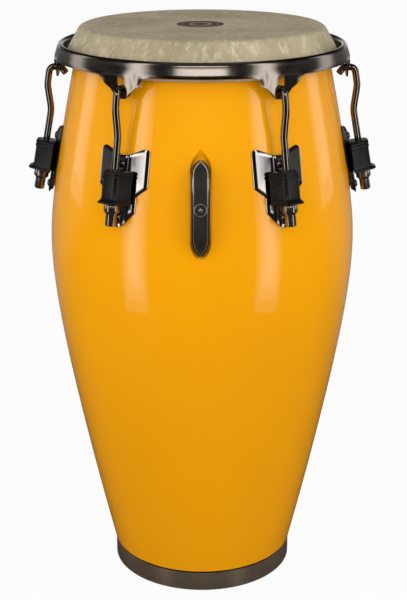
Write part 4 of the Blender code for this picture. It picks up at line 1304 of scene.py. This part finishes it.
def makeLugs():
    count = drum["lugs"]
    every = range(1, count + 1)
    for name, mesh, material, sharp, slot, nodes in (
            ("sidePlates", plateSource(), plateNickel, 28.0, "side_plate_metal", ["side_plate"]),
            ("lugCushions", cushionSource(), cushionRubber, 40.0, "cushion_rubber",
             ["lug_cushion"]),
            ("lugBushings", bushingSource(), zincSteel, 40.0, "hidden_steel", ["lug_bushing"]),
            ("plateScrews", screwSource(), screwNickel, 40.0, "screw_metal",
             ["upper_screw", "lower_screw"])):
        piece = runTree(roundTheDrum, mesh, name, {"Count": count, "Material": material}, sharp)
        fitPiece(piece, "drum", slot, *[f"{node}_{k}" for k in every for node in nodes])
    nutBase, hookBase = nutSource(), hookSource()
    for k in every:
        start = 2 * math.pi / count * (k - 1)
        piece = runTree(roundTheDrum, nutBase.copy(), f"tuningNut{k}",
                        {"Count": 1, "Start": start, "Material": nutNickel}, 40.0)
        fitPiece(piece, f"nut_{k}", "lug_metal", f"tuning_nut_{k}")
        piece = runTree(rodAlongLine, hookBase.copy(), f"hookRod{k}",
                        {"Radius": lug["rod"], "Sides": 24, "Turn": start,
                         "Material": rodNickel}, 50.0)
        fitPiece(piece, f"hook_{k}", "lug_metal", f"lug_hook_{k}")


makeLugs()
print("conga: lugs made")


# Handle: a bowed bar with pointed ends, a raised border and a sunk panel

def faceDepth(up):
    half = handle["length"] / 2
    radius = (half * half + handle["bow"] ** 2) / (2 * handle["bow"])
    return handle["standoff"] - radius + math.sqrt(max(radius * radius - up * up, 0.0))


def handleBack(up):
    # Depth of the bar's back: the finger gap, its rounded ends, and the end blocks.
    seat = -handle["recessDepth"] + drum["gap"]
    half = handle["fingers"] / 2
    curve = handle["fingerRound"]
    up = abs(up)
    under = faceDepth(up) - handle["bar"]
    if up < half - curve:
        return under
    if up < half:
        across = (up - (half - curve)) / curve
        return under - curve * (1 - math.sqrt(max(1 - across * across, 0.0)))
    return seat


def handleSection(up):
    face = faceDepth(up)
    half = max(handleWidth(up), 0.0008)
    step = 0.0004
    lean = math.hypot(1.0, (handleWidth(up + step) - handleWidth(up - step)) / (2 * step))
    border = min(handle["border"] * lean, half * 0.96)
    back = handleBack(up)
    side = max(face - 0.0022, back + 0.0002)
    right = [(back, half * 0.55), (back, half - min(0.0010, half * 0.3)), (back + 0.0006, half),
             (side, half), (face - 0.0008, half - border * 0.14),
             (face - 0.0001, half - border * 0.34), (face, half - border * 0.48),
             (face - 0.0001, half - border * 0.62), (face - handle["sink"], half - border),
             (face - handle["sink"], (half - border) * 0.5)]
    points = [(x, y, up) for x, y in right] + [(face - handle["sink"], 0.0, up)]
    points += [(x, -y, up) for x, y in reversed(right)] + [(back, 0.0, up)]
    return points


def onHandle(shape, sharp):
    mesh = finishShape(shape, sharp)
    mesh.transform(handleFrame @ Matrix.Translation((0.0, 0.0, -handle["lower"])))
    return mesh


def handleMesh():
    half = handle["length"] / 2
    gapEnd = handle["fingers"] / 2
    places = [gapEnd * i / 14 for i in range(12)]
    places += [gapEnd - handle["fingerRound"] * (1 - math.sin(math.radians(a)))
               for a in (10, 30, 50, 65, 78, 87)]
    places += [gapEnd + 0.0012]
    straight = half - handle["topPoint"]
    places += [straight + (half - straight) * share
               for share in (0.0, 0.15, 0.3, 0.45, 0.6, 0.72, 0.83, 0.91, 0.96, 0.985, 1.0)]
    places = sorted(set(round(place, 6) for place in places))
    stations = [-place for place in reversed(places[1:])] + places
    shape = bmesh.new()
    rings = addLoops(shape, [handleSection(up) for up in stations])
    panel = {ring[i] for ring in rings for i in (8, 9, 10, 11, 12)}
    line = {ring[i] for ring in rings for i in (7, 8, 12, 13)}
    for face in shape.faces:
        if panel.issuperset(face.verts):
            face.material_index = 1
        elif line.issuperset(face.verts):
            face.material_index = 2
    return onHandle(shape, 30.0)


def ringMesh():
    # A plain raised ring with a dot in it, at the middle of the panel.
    shape = bmesh.new()
    wire = handle["ringWire"]
    loops = []
    for i in range(56):
        angle = 2 * math.pi * i / 56
        loop = []
        for spoke, rise in circle(wire, 8):
            r = handle["ring"] + spoke
            z = r * math.sin(angle)
            loop.append((faceDepth(z) - handle["sink"] + 0.9 * rise, r * math.cos(angle), z))
        loops.append(loop)
    addLoops(shape, loops, closed=True)
    dot, rise, under = handle["dot"]
    centre = faceDepth(0) - handle["sink"] - under
    addLoops(shape, [[(centre + rise * math.sqrt(1 - share ** 2), y, z)
                      for y, z in circle(dot * max(share, 0.02), 24)]
                     for share in (0.0, 0.3, 0.6, 0.85, 1.0)])
    return onHandle(shape, 50.0)


addPiece("carryHandle", handleMesh(), (handleNickel, handlePanel, edgeNickel),
         "drum", "black_nickel", "handle")
addPiece("handleRing", ringMesh(), (edgeNickel,), "drum", "black_nickel")
print("conga: handle made")


# CAD pieces that stay: hidden steel

for name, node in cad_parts.items():
    if name.startswith(("nut_plate", "handle_bolt", "flesh_hoop")):
        if not node.material_slots:
            node.data.materials.append(zincSteel)
        for place in node.material_slots:
            place.material = zincSteel

print("conga: done")
